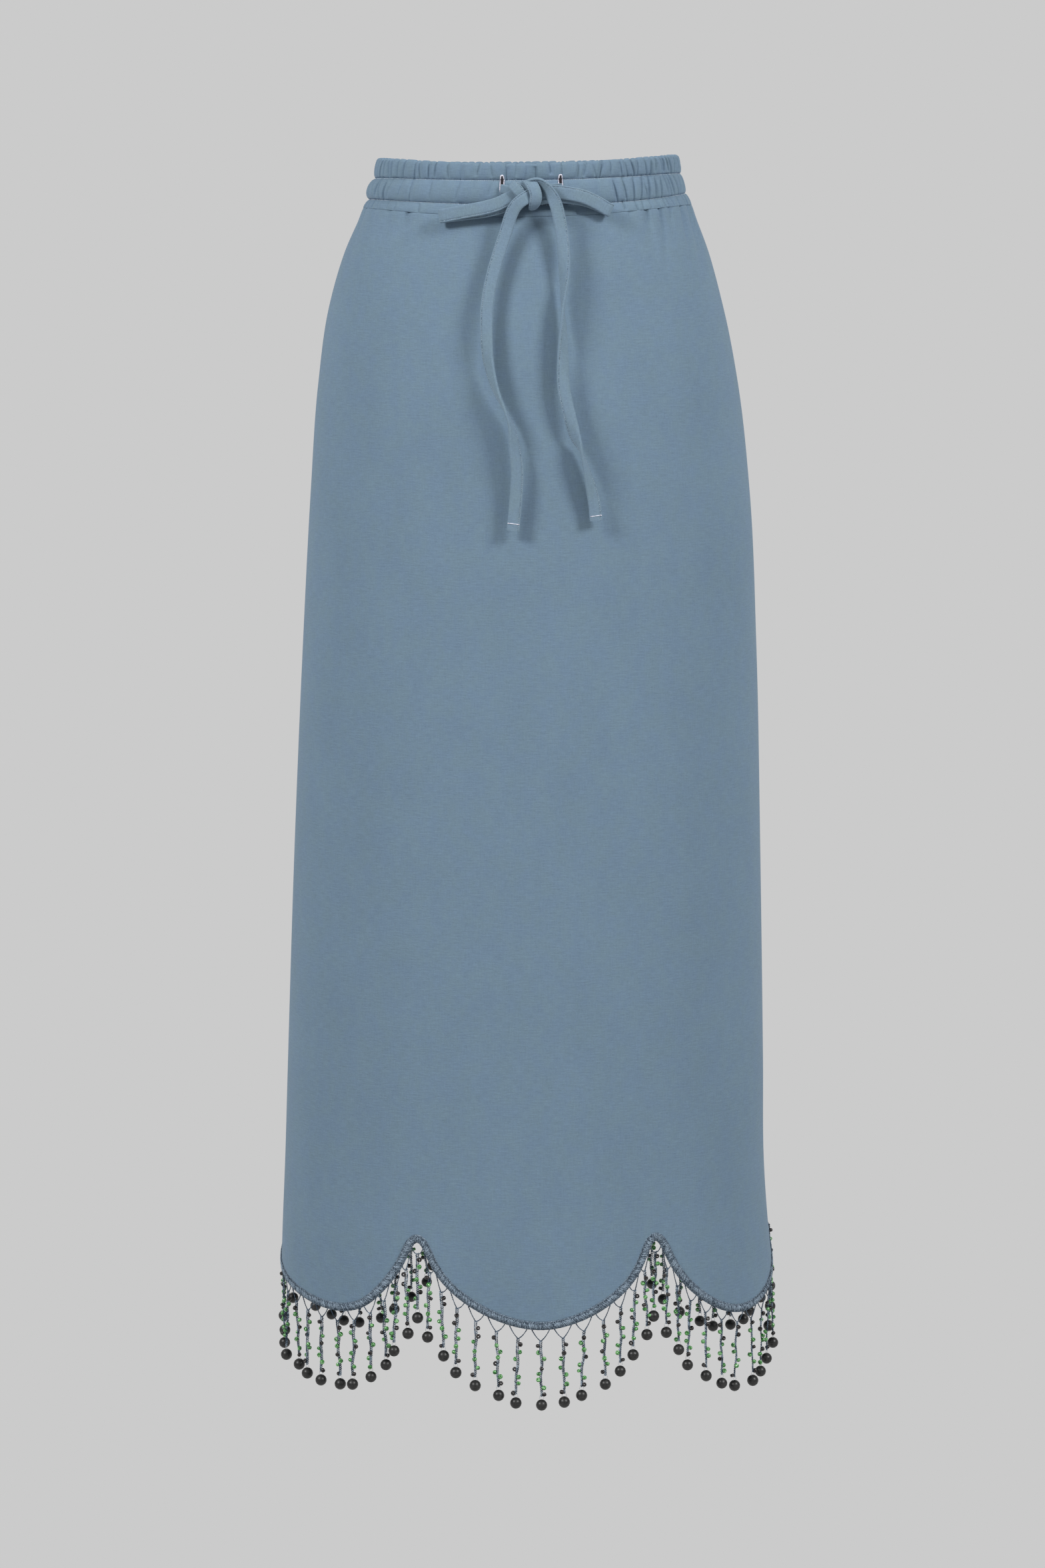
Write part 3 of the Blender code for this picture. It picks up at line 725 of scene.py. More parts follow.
def build_buttonhole(side, x):
    """A near-black sheet in the hole as painted shade, and the satin stitches round it."""
    middle, half = (HOLE_TOP + HOLE_BOTTOM) / 2, (HOLE_BOTTOM - HOLE_TOP) / 2
    turns = np.linspace(0, 2 * math.pi, 37)[:-1]
    rings = [band_points(x + share * HOLE_HALF_WIDTH * np.sin(turns),
                         middle - share * half * np.cos(turns), SLIT_LIFT)[0]
             for share in (1.0, 0.6, 0.05)]
    uvs = np.zeros((len(rings), len(turns) + 1, 2))
    shade_sheet = grid_object("buttonhole_painted_shade_" + side, np.array(rings), uvs, HOLE_PAINTED_SHADE,
                       loop_columns=True)
    shade_sheet.data.flip_normals()
    wall = shade_sheet.modifiers.new("wall", "SOLIDIFY")
    wall.thickness = SLIT_DEPTH
    wall.offset = -1
    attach(shade_sheet, "root")
    steps = np.linspace(0, 2 * math.pi, 4000)
    outline = np.stack((signed_power(np.sin(steps), 0.5) * HOLE_HALF_WIDTH * 1.9,
                        -signed_power(np.cos(steps), 0.9) * half * 1.04), -1)
    path = lengths_along(outline)
    places = np.arange(0, path[-1], EDGING_PITCH)
    across, down = (np.interp(places, path, outline[:, k]) for k in range(2))
    inner, out = band_points(x + 0.55 * across, middle + 0.97 * down, 0.0007)
    outer, _ = band_points(x + 1.45 * across, middle + 1.03 * down, 0.0005)
    edging = repeated("buttonhole_edging_" + side, "stitch", (inner + outer) / 2,
                      unit(outer - inner), out, SATIN_THREAD, *EDGING_STITCH, seed=7)


for side, x in BUTTONHOLES.items():
    build_buttonhole(side, x)

# Drawstring
# A flat tape of the skirt's own jersey, folded to 11 mm and stitched along one
# edge. It runs inside the upper channels, comes out of two buttonholes, and is
# tied in a bow: a knot, two loops and two tails that hang free.
TAPE_WIDTH = 0.0110
TAPE_THICK = 0.0026
LAYER_THICK = 0.0024
LOOP_WIDTH = 0.0118
LOOP_GAP = 0.0015
LEAD_SIZE = (0.0092, 0.0024)
TAPE = jersey_material("tape_jersey", (0.170, 0.246, 0.324), slub_length=0.004)

TapePoint = namedtuple("TapePoint", "x drop stand turn")
LEAD_LEFT = (
    TapePoint(-0.0218, 0.0215, 0.0002, 0), TapePoint(-0.0185, 0.0220, 0.0022, 0),
    TapePoint(-0.0150, 0.0230, 0.0046, 0), TapePoint(-0.0095, 0.0255, 0.0060, 0),
)
LEAD_RIGHT = (
    TapePoint(0.0298, 0.0215, 0.0002, 0), TapePoint(0.0262, 0.0215, 0.0022, 0),
    TapePoint(0.0210, 0.0216, 0.0042, 0), TapePoint(0.0100, 0.0218, 0.0050, 0),
)
LOOP_LEFT = (
    TapePoint(-0.0080, 0.0262, 0.0095, 0),
    TapePoint(-0.0153, 0.0292, 0.0098, 0),
    TapePoint(-0.0250, 0.0336, 0.0096, 0),
    TapePoint(-0.0376, 0.0371, 0.0090, 0),
    TapePoint(-0.0500, 0.0396, 0.0082, 0),
    TapePoint(-0.0620, 0.0423, 0.0074, 0),
    TapePoint(-0.0722, 0.0447, 0.0070, 0),
)
LOOP_RIGHT = (
    TapePoint(0.0060, 0.0235, 0.0085, 0),
    TapePoint(0.0132, 0.0233, 0.0092, 0),
    TapePoint(0.0200, 0.0237, 0.0092, 0),
    TapePoint(0.0316, 0.0249, 0.0088, 0),
    TapePoint(0.0474, 0.0285, 0.0082, 0),
    TapePoint(0.0590, 0.0338, 0.0076, 0),
    TapePoint(0.0700, 0.0405, 0.0072, 0),
)
TAIL_LEFT = (
    TapePoint(0.0050, 0.0262, 0.0110, 0),
    TapePoint(0.0015, 0.0272, 0.0156, 0),
    TapePoint(-0.0035, 0.0302, 0.0172, 0),
    TapePoint(-0.0080, 0.0337, 0.0165, 0),
    TapePoint(-0.0116, 0.0387, 0.0150, 0),
    TapePoint(-0.0148, 0.0469, 0.0130, 0),
    TapePoint(-0.0174, 0.0562, 0.0116, 0),
    TapePoint(-0.0226, 0.0723, 0.0106, 0),
    TapePoint(-0.0293, 0.0969, 0.0108, 5),
    TapePoint(-0.0335, 0.1215, 0.0112, 8),
    TapePoint(-0.0342, 0.1461, 0.0112, -5),
    TapePoint(-0.0326, 0.1707, 0.0112, -30),
    TapePoint(-0.0270, 0.1953, 0.0112, -60),
    TapePoint(-0.0180, 0.2170, 0.0112, -88),
    TapePoint(-0.0130, 0.2300, 0.0110, -108),
    TapePoint(-0.0103, 0.2480, 0.0108, -140),
    TapePoint(-0.0080, 0.2700, 0.0102, -165),
    TapePoint(-0.0092, 0.2952, 0.0094, -178),
    TapePoint(-0.0116, 0.3204, 0.0086, -180),
)
TAIL_RIGHT = (
    TapePoint(0.0010, 0.0172, 0.0100, -60),
    TapePoint(0.0060, 0.0160, 0.0128, -60),
    TapePoint(0.0108, 0.0166, 0.0148, -55),
    TapePoint(0.0160, 0.0203, 0.0160, -42),
    TapePoint(0.0207, 0.0263, 0.0165, -25),
    TapePoint(0.0243, 0.0332, 0.0160, -12),
    TapePoint(0.0270, 0.0423, 0.0146, -5),
    TapePoint(0.0294, 0.0554, 0.0130, -3),
    TapePoint(0.0313, 0.0723, 0.0120, -15),
    TapePoint(0.0321, 0.0969, 0.0112, -50),
    TapePoint(0.0310, 0.1215, 0.0108, -90),
    TapePoint(0.0309, 0.1461, 0.0108, -125),
    TapePoint(0.0307, 0.1707, 0.0108, -155),
    TapePoint(0.0314, 0.1953, 0.0108, -175),
    TapePoint(0.0361, 0.2199, 0.0108, -190),
    TapePoint(0.0414, 0.2393, 0.0106, -225),
    TapePoint(0.0458, 0.2504, 0.0106, -268),
    TapePoint(0.0522, 0.2729, 0.0100, -310),
    TapePoint(0.0573, 0.2952, 0.0090, -345),
    TapePoint(0.0592, 0.3119, 0.0084, -358),
)

# The tape across: half widths and half thicknesses, with a stitched groove near one edge
GROOVE_SHARE = 0.735
TAPE_PROFILE = np.array((
    (1.00, 0.00), (0.97, 0.60), (0.89, 0.96), (0.80, 0.98), (GROOVE_SHARE, 0.70), (0.67, 1.00),
    (0.45, 1.10), (0.10, 1.12), (-0.30, 1.08), (-0.70, 1.02), (-0.89, 0.94), (-0.97, 0.58),
    (-1.00, 0.00), (-0.97, -0.60), (-0.88, -0.94), (-0.40, -1.04), (0.20, -1.08), (0.67, -1.00),
    (GROOVE_SHARE, -0.70), (0.80, -0.98), (0.89, -0.95), (0.97, -0.60),
))
TAPE_STITCH_PITCH = 0.0016
TAPE_STITCH = (0.0011, 0.00045, 0.00045)
TAPE_STITCH_SLANT = 0.45
TAPE_STITCH_LIFT = 0.00008
GROOVE_FLOOR = 0.78
TACK_REACH = 0.42
TACK_STITCH = (0.0016, 0.0009, 0.0007)


def smooth_route(points, count):
    """Stations on a smooth curve through a route's points."""
    rows = np.array(points, dtype=float)
    padded = np.vstack((2 * rows[0] - rows[1], rows, 2 * rows[-1] - rows[-2]))
    t = np.linspace(0, len(rows) - 1, count)
    i = np.minimum(t.astype(int), len(rows) - 2)
    u = (t - i)[:, None]
    a, b, c, d = (padded[i + k] for k in range(4))
    return 0.5 * (2 * b + (c - a) * u + (2 * a - 5 * b + 4 * c - d) * u ** 2
                  + (3 * b - a - 3 * c + d) * u ** 3)


def tape_frames(stations):
    """Middles of the tape on the skirt, and its wide and deep directions."""
    x, drop, stand, turn = stations.T
    half_width, centre_x, _, _ = section_sizes(drop)
    angle = np.arcsin((x - centre_x) / half_width)
    for _ in range(3):
        aside = stand * outward(angle, drop)[:, 0]
        angle = np.arcsin((x - centre_x - aside) / half_width)
    middles = skirt_points(angle, drop, stand)
    along = unit(np.gradient(middles, axis=0))
    across = unit(np.cross(along, outward(angle, drop)))
    face = np.cross(across, along)
    turn = np.radians(turn)[:, None]
    wide = np.cos(turn) * across + np.sin(turn) * face
    return middles, wide, np.cos(turn) * face - np.sin(turn) * across


def held_frames(stations, hold):
    """Frames of a tape whose width keeps to one direction round its folds."""
    middles, _, _ = tape_frames(stations)
    along = unit(np.gradient(middles, axis=0))
    hold = unit(np.array(hold, dtype=float))
    wide = unit(hold - (along @ hold)[:, None] * along)
    return middles, wide, np.cross(wide, along)


tape_stitches = {"at": [], "along": [], "out": []}


def sew_tape(middles, wide, deep, width, thick, stitched):
    """Places of the small zigzag stitches in a tape's two grooves."""
    path = lengths_along(middles)
    places = np.arange(TAPE_STITCH_PITCH / 2, path[-1], TAPE_STITCH_PITCH)
    at, across, up = (np.stack([np.interp(places, path, rows[:, k]) for k in range(3)], -1)
                      for rows in (middles, wide, deep))
    ahead = unit(np.gradient(at, axis=0))
    slant = np.where(np.arange(len(places)) % 2, 1, -1)[:, None] * TAPE_STITCH_SLANT
    for face in (-1, 1):
        tape_stitches["at"].append(at + across * (GROOVE_SHARE * stitched * width / 2)
                                   + up * face * (GROOVE_FLOOR * thick / 2 + TAPE_STITCH_LIFT))
        tape_stitches["along"].append(unit(ahead + slant * across))
        tape_stitches["out"].append(face * up)


def tape_object(name, middles, wide, deep, width, thick, stitched=1, taper=None, sewn=True):
    """A flat tape through its stations, with closed ends."""
    profile = TAPE_PROFILE * (stitched, 1)
    profile = profile if stitched > 0 else profile[::-1]
    spread = np.ones(len(middles)) if taper is None else taper
    rings = (middles[:, None] + wide[:, None] * (profile[:, :1] * width / 2) * spread[:, None, None]
             + deep[:, None] * (profile[:, 1:] * thick / 2))
    round_it = lengths_along(np.vstack((profile, profile[:1])) * (width / 2, thick / 2))
    uvs = np.stack(np.broadcast_arrays(round_it[None, :], lengths_along(middles)[:, None]), -1)
    made = grid_object(name, rings, uvs, TAPE, loop_columns=True, capped=True)
    made.data.set_sharp_from_angle(angle=math.radians(60))
    if sewn:
        sew_tape(middles, wide * spread[:, None], deep, width, thick, stitched)
    return made


def folded_loop(name, route, slip):
    """One loop of the bow: out over itself, folded at its end, and back.

    Its lower layer starts a slip further down than its upper one.
    """
    stations = smooth_route(route, 30)
    upper, wide, deep = tape_frames(stations + (0, 0, LOOP_GAP, 0))
    shares = np.linspace(1, 0, len(stations))[:, None]
    lower, _, _ = tape_frames(stations + shares * (0, slip, 0, 0) - (0, 0, LOOP_GAP, 0))
    turns = np.linspace(0, math.pi, 9)[1:-1, None]
    along = unit(upper[-1] - upper[-2])
    fold = ((upper[-1] + lower[-1]) / 2 + LOOP_GAP * np.cos(turns) * deep[-1]
            + LOOP_GAP * np.sin(turns) * along)
    fold_deep = np.cos(turns) * deep[-1] + np.sin(turns) * along
    middles = np.concatenate((upper, fold, lower[::-1]))
    wides = np.concatenate((wide, np.repeat(wide[-1:], len(turns), 0), wide[::-1]))
    deeps = np.concatenate((deep, fold_deep, -deep[::-1]))
    return tape_object(name, middles, wides, deeps, LOOP_WIDTH, LAYER_THICK, stitched=-1)


def join_objects(name, objects):
    """Several meshes made into one object."""
    first = objects[0]
    with bpy.context.temp_override(active_object=first, object=first,
                                   selected_objects=objects, selected_editable_objects=objects):
        bpy.ops.object.join()
    first.name = first.data.name = name
    return first


# The knot: a core, a pass across it from upper left, and a wrap down its right side
KNOT_CORE = (
    TapePoint(-0.0105, 0.0225, 0.0070, 0), TapePoint(-0.0060, 0.0240, 0.0080, 0),
    TapePoint(0.0010, 0.0262, 0.0082, 0), TapePoint(0.0085, 0.0280, 0.0070, 0),
)
KNOT_PASS = (
    TapePoint(-0.0070, 0.0225, 0.0088, 0), TapePoint(-0.0100, 0.0193, 0.0098, 0),
    TapePoint(-0.0119, 0.0174, 0.0124, 0), TapePoint(-0.0104, 0.0190, 0.0149, 0),
    TapePoint(-0.0080, 0.0216, 0.0155, 0), TapePoint(-0.0052, 0.0246, 0.0151, 0),
    TapePoint(-0.0020, 0.0280, 0.0128, 0),
)
PASS_HOLD = (-0.72, 0, -0.66)
CORE_SIZE = (0.0160, 0.0100)
PASS_SIZE = (0.0093, 0.0026)
WRAP_SIZE = (0.0104, 0.0032)
KNOT_WRAP = (
    TapePoint(-0.0010, 0.0185, 0.0060, 0), TapePoint(0.0008, 0.0158, 0.0105, 0),
    TapePoint(0.0030, 0.0166, 0.0150, 0), TapePoint(0.0058, 0.0205, 0.0178, 0),
    TapePoint(0.0077, 0.0260, 0.0184, 0), TapePoint(0.0073, 0.0314, 0.0168, 0),
    TapePoint(0.0056, 0.0354, 0.0132, 0), TapePoint(0.0044, 0.0370, 0.0085, 0),
)
WRAP_HOLD = (-1, 0, -0.12)


def build_knot():
    """The knot's three passes of tape, as one piece."""
    core = tape_object("knot_core", *tape_frames(smooth_route(KNOT_CORE, 20)), *CORE_SIZE,
                       sewn=False)
    knot_pass = tape_object("knot_pass", *held_frames(smooth_route(KNOT_PASS, 60), PASS_HOLD),
                            *PASS_SIZE, stitched=-1)
    taper = np.interp(np.linspace(0, 1, 60), (0, 0.3, 0.7, 0.9, 1), (0.85, 1, 1, 0.75, 0.55))
    wrap = tape_object("knot_wrap", *held_frames(smooth_route(KNOT_WRAP, 60), WRAP_HOLD),
                       *WRAP_SIZE, taper=taper)
    return join_objects("bow_knot", [core, knot_pass, wrap])


bow_pieces = {
    "drawstring_knot": build_knot(),
    "drawstring_loop_left": folded_loop("bow_loop_left", LOOP_LEFT, slip=0.0045),
    "drawstring_loop_right": folded_loop("bow_loop_right", LOOP_RIGHT, slip=0.0060),
}
for node, route in (("drawstring_lead_left", LEAD_LEFT), ("drawstring_lead_right", LEAD_RIGHT)):
    bow_pieces[node] = tape_object(node.replace("drawstring", "bow"),
                                   *tape_frames(smooth_route(route, 16)), *LEAD_SIZE)
for node, piece in bow_pieces.items():
    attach(piece, "root")
    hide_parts(node)

for node, route, stitched in (("drawstring_tail_left", TAIL_LEFT, 1),
                              ("drawstring_tail_right", TAIL_RIGHT, -1)):
    middles, wide, deep = tape_frames(smooth_route(route, 150))
    tail = tape_object(node.replace("drawstring", "bow"), middles, wide, deep, TAPE_WIDTH,
                       TAPE_THICK, stitched)
    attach(tail, "root")
    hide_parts(node)
    tack = np.linspace(-TACK_REACH, TACK_REACH, 9)[:, None] * wide[-3] * TAPE_WIDTH
    for face in (-1, 1):
        tacks = repeated(f"{tail.name}_tack_{'back' if face < 0 else 'front'}", "stitch",
                         middles[-3] + tack + face * deep[-3] * (1.1 * TAPE_THICK / 2), wide[-3],
                         face * deep[-3], SATIN_THREAD, *TACK_STITCH, seed=9)

SEAM_THREAD = thread_material("seam_thread", (0.07, 0.11, 0.17), (0.44, 0.52, 0.60))
sewing = repeated("bow_stitches", "stitch", *(np.concatenate(tape_stitches[key])
                                              for key in ("at", "along", "out")),
                  SEAM_THREAD, *TAPE_STITCH, variation=0.2, seed=13)

# Hem trim
# A crocheted binding that covers the scalloped edge: close stitches of melange
# thread over the cloth's edge, with a rolled chain along the bottom.
TRIM_THICK = 0.0028
TRIM_PROUD = 0.0005
TRIM_MIDDLE = TRIM_PROUD - TRIM_THICK / 2
TRIM_STITCH = (0.0066, 0.00078, 0.0011)
TRIM_STITCH_REACH = 0.0030
CHAIN_STITCH = (0.0020, 0.0013, 0.0018)
CHAIN_PITCH = 0.0013
MELANGE = thread_material("melange_thread", (0.038, 0.060, 0.090), (0.31, 0.39, 0.47))


def edge_places(edge, spacing):
    """Even places along the hem edge: arc, drop, and the edge's direction."""
    path = lengths_along(edge)
    places = np.arange(spacing / 2, path[-1], spacing)
    arcs, drops = (np.interp(places, path, edge[:, k]) for k in range(2))
    ways = np.gradient(np.stack((arcs, drops), -1), axis=0)
    return arcs, drops, unit(ways)


def hem_points(arcs, drops, out):
    """Points on the hem from arc lengths and drops."""
    return skirt_points(np.interp(arcs, HEM_ARCS, HEM_ANGLES), drops, out)


# The binding's section: shares of its width up the cloth and of half its thickness out
TRIM_SECTION = (
    (1.10, 0.68), (0.95, 0.74), (0.6, 0.75), (0.25, 0.75), (0.02, 0.55),
    (0.0, 0.0), (0.02, -0.55), (0.3, -0.75), (0.8, -0.75), (1.10, -0.68),
)
StitchLayer = namedtuple("StitchLayer", "pitch slant raised tint")
STITCH_LAYERS = (StitchLayer(0.00056, 0.55, 0.0, 0.22), StitchLayer(0.00062, -0.38, 0.00025, 0.32))


def build_trim(side):
    """The binding's body, its close stitches and its chain."""
    edge = hem_edge(side)
    rows = []
    for lift, out in TRIM_SECTION:
        moved = raised_edge(edge, TRIM_WIDTH * lift)
        rows.append(hem_points(moved[:, 0], moved[:, 1], TRIM_MIDDLE + out * TRIM_THICK / 2))
    points = np.stack(rows, 1)
    uvs = np.zeros((points.shape[0], points.shape[1] + 1, 2))
    body = grid_object(side + "_trim_body", points, uvs, MELANGE, loop_columns=True, capped=True)
    set_tint(body.data, 0.2)

    draws = np.random.default_rng(31 if side == "front" else 37)
    layers = []
    for layer in STITCH_LAYERS:
        arcs, drops, ways = edge_places(edge, layer.pitch)
        count = len(arcs)
        lift = TRIM_WIDTH * 0.5 + draws.uniform(-0.0008, 0.0009, count)
        up = np.stack((ways[:, 1], -ways[:, 0]), -1)
        slants = layer.slant + draws.uniform(-0.14, 0.14, count)
        reach = TRIM_STITCH_REACH * (up + slants[:, None] * ways)
        tops, lows = (hem_points(arcs + up[:, 0] * lift + end * reach[:, 0],
                                 drops + up[:, 1] * lift + end * reach[:, 1],
                                 TRIM_PROUD + layer.raised)
                      for end in (1, -1))
        sizes = np.stack((draws.uniform(0.75, 1.1, count), draws.uniform(0.8, 1.2, count),
                          draws.uniform(0.9, 1.2, count)), -1)
        layers.append(((tops + lows) / 2, unit(tops - lows),
                       outward(np.interp(arcs, HEM_ARCS, HEM_ANGLES), drops), sizes,
                       layer.tint + draws.uniform(-0.22, 0.22, count)))
    at, along, out, sizes, tints = (np.concatenate(parts) for parts in zip(*layers))
    stitches = repeated(side + "_trim_stitches", "stitch", at, along, out, MELANGE, *TRIM_STITCH,
                        sizes=sizes, seed=41, tints=tints)
    arcs, drops, ways = edge_places(edge, CHAIN_PITCH)
    here = hem_points(arcs, drops, TRIM_MIDDLE)
    ahead = hem_points(arcs + ways[:, 0] * 0.001, drops + ways[:, 1] * 0.001, TRIM_MIDDLE)
    chain = repeated(side + "_trim_chain", "stitch", here, unit(ahead - here),
                     outward(np.interp(arcs, HEM_ARCS, HEM_ANGLES), drops), MELANGE,
                     *CHAIN_STITCH, seed=43,
                     tints=np.random.default_rng(44).uniform(0.0, 0.4, len(arcs)))
    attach(body, "root")
    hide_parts("fringe_" + side)


for side in PEAKS:
    build_trim(side)

# Fringe
# Crocheted strands hang from the trim on pairs of twisted threads. Each has
# small black and green glass beads on alternating sides, and ends in a clear
# loop that carries a matte black bead of 10 mm.
STRAND_PITCH = 0.0193
THREAD_PAIR_GAP = 0.0018
THREAD_FALL = 0.0105
BEAD_FALL = 0.0680
BEAD_RADIUS = 0.0050
STRAND_SWAY = 0.0022
CLEAR_LOOP = 0.0085
SEAM_PUSH = 0.0060
SEAM_PUSH_SPREAD = 0.14
THREAD_RADIUS = 0.00036
TWIST_RADIUS = 0.00030
TWIST_TURNS = 5
THREAD_ROOT = 0.0012
THREAD_SAG = 0.0016
CROCHET_STITCH = (0.0028, 0.0013, 0.0013)
SEED_SIZE = (0.0041, 0.0041, 0.0072)
SEED_ASIDE = 0.0023
SEED_PROUD = 0.0016
HOLE_SIZE = (0.0013, 0.0013, 0.0024)
NYLON_RADIUS = 0.00022
COARSE_COLUMNS = 7


def bead_material(name, colours, roughness, grain, **sockets):
    """Glass or painted wood, its colour in streaks from the first to the last."""
    made, tree, shader = start_material(name, roughness, **sockets)
    place = add_node(tree, "ShaderNodeTexCoord").outputs["Object"]
    noise = add_node(tree, "ShaderNodeTexNoise", {"Vector": place, "Scale": grain, "Detail": 3.0})
    ramp = add_node(tree, "ShaderNodeValToRGB", {"Fac": noise.outputs["Fac"]})
    stops = ramp.color_ramp.elements
    stops[0].position, stops[1].position = 0.38, 0.66
    stops[0].color, stops[1].color = (*colours[0], 1), (*colours[-1], 1)
    if len(colours) > 2:
        stops.new(0.50).color = (*colours[1], 1)
    tree.links.new(ramp.outputs["Color"], shader.inputs["Base Color"])
    return made


BLACK_BEAD = bead_material("matte_black_bead", ((0.010, 0.0095, 0.009), (0.028, 0.027, 0.026)),
                           0.40, 500.0)
BLACK_SEED = bead_material("black_glass_seed", ((0.010, 0.009, 0.009), (0.040, 0.034, 0.033)),
                           0.16, 500.0)
# Green glass in dark and mid greens, with pale streaks that are painted glints, highlights put into
# the colour
GREEN_SEED_PAINTED_GLINTS = bead_material("green_glass_seed_painted_glints",
                           ((0.016, 0.110, 0.020), (0.055, 0.270, 0.050), (0.30, 0.58, 0.26)),
                           0.10, 520.0, Coat_Weight=0.5)
SILVER = bead_material("silvered_hole", ((0.45, 0.62, 0.42), (0.85, 0.92, 0.82)), 0.18, 900.0,
                       Metallic=1.0)
NYLON = bead_material("clear_nylon", ((0.78, 0.80, 0.82), (0.84, 0.86, 0.88)), 0.20, 400.0,
                      Transmission_Weight=0.5)


def yarn_tree():
    """A node group that gives every line of a mesh a round section."""
    tree, given = start_tree("yarn", {"Radius": 0.0005, "Sides": 5})
    line = add_node(tree, "GeometryNodeMeshToCurve", {"Mesh": given["Geometry"]})
    section = add_node(tree, "GeometryNodeCurvePrimitiveCircle", {"Resolution": given["Sides"],
                                                                  "Radius": given["Radius"]})
    tube = add_node(tree, "GeometryNodeCurveToMesh", {"Curve": line.outputs["Curve"],
                                                      "Profile Curve": section.outputs["Curve"],
                                                      "Fill Caps": True})
    smooth = add_node(tree, "GeometryNodeSetShadeSmooth", {"Geometry": tube.outputs["Mesh"]})
    return end_tree(tree, smooth.outputs["Geometry"], given["Material"])


YARN = yarn_tree()


def yarn_object(name, lines, radius, material, sides=5, seed=1):
    """Round threads along several lines of points, as one piece."""
    points = np.concatenate(lines)
    counts = [len(line) for line in lines]
    starts = np.cumsum([0] + counts)
    edges = [(k, k + 1) for first, last in zip(starts[:-1], starts[1:])
             for k in range(first, last - 1)]
    mesh = bpy.data.meshes.new(name + "_lines")
    mesh.from_pydata(points.tolist(), edges, [])
    set_tint(mesh, np.repeat(np.random.default_rng(seed).uniform(-0.15, 0.15, len(lines)), counts))
    start = bpy.data.objects.new(name + "_lines", mesh)
    bpy.context.scene.collection.objects.link(start)
    made = run_tree(name, start, YARN, {"Radius": radius, "Sides": sides, "Material": material})
    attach(made, "root")
    return made


def strand_places(side):
    """The hem edge, the way along it, and the places on that way of the strands.

    One hangs at each inner peak, and the first and last half a space off the seams.
    """
    edge = hem_edge(side, columns=COARSE_COLUMNS)
    path = lengths_along(edge)
    stops = path[::2 * COARSE_COLUMNS]
    places = []
    for i, (start, end) in enumerate(zip(stops[:-1], stops[1:])):
        shift = 0.5 if i == 0 else 0.0
        count = round((end - start) / STRAND_PITCH)
        spaces = count + 0.5 if i in (0, len(stops) - 2) else count
        places += [start + (end - start) * (k + shift) / spaces
                   for k in range(count + 1) if k + shift < spaces]
    return edge, path, places


def twisted(line, radius, turns, plies=2):
    """Lines of the plies that twist round a line."""
    along = unit(np.gradient(line, axis=0))
    side = unit(np.cross(along, (0.0, 1.0, 0.3)))
    other = np.cross(along, side)
    angle = np.linspace(0, 2 * math.pi * turns, len(line))[:, None]
    return [line + radius * (np.cos(angle + 2 * math.pi * k / plies) * side
                             + np.sin(angle + 2 * math.pi * k / plies) * other)
            for k in range(plies)]


# Small beads down a strand, from the top: B is black and G is green
BEAD_ORDERS = ("BGGBGGGB", "BGGBGGB", "BGBGGBGG", "BGGGBGGB", "BBGGGGB")


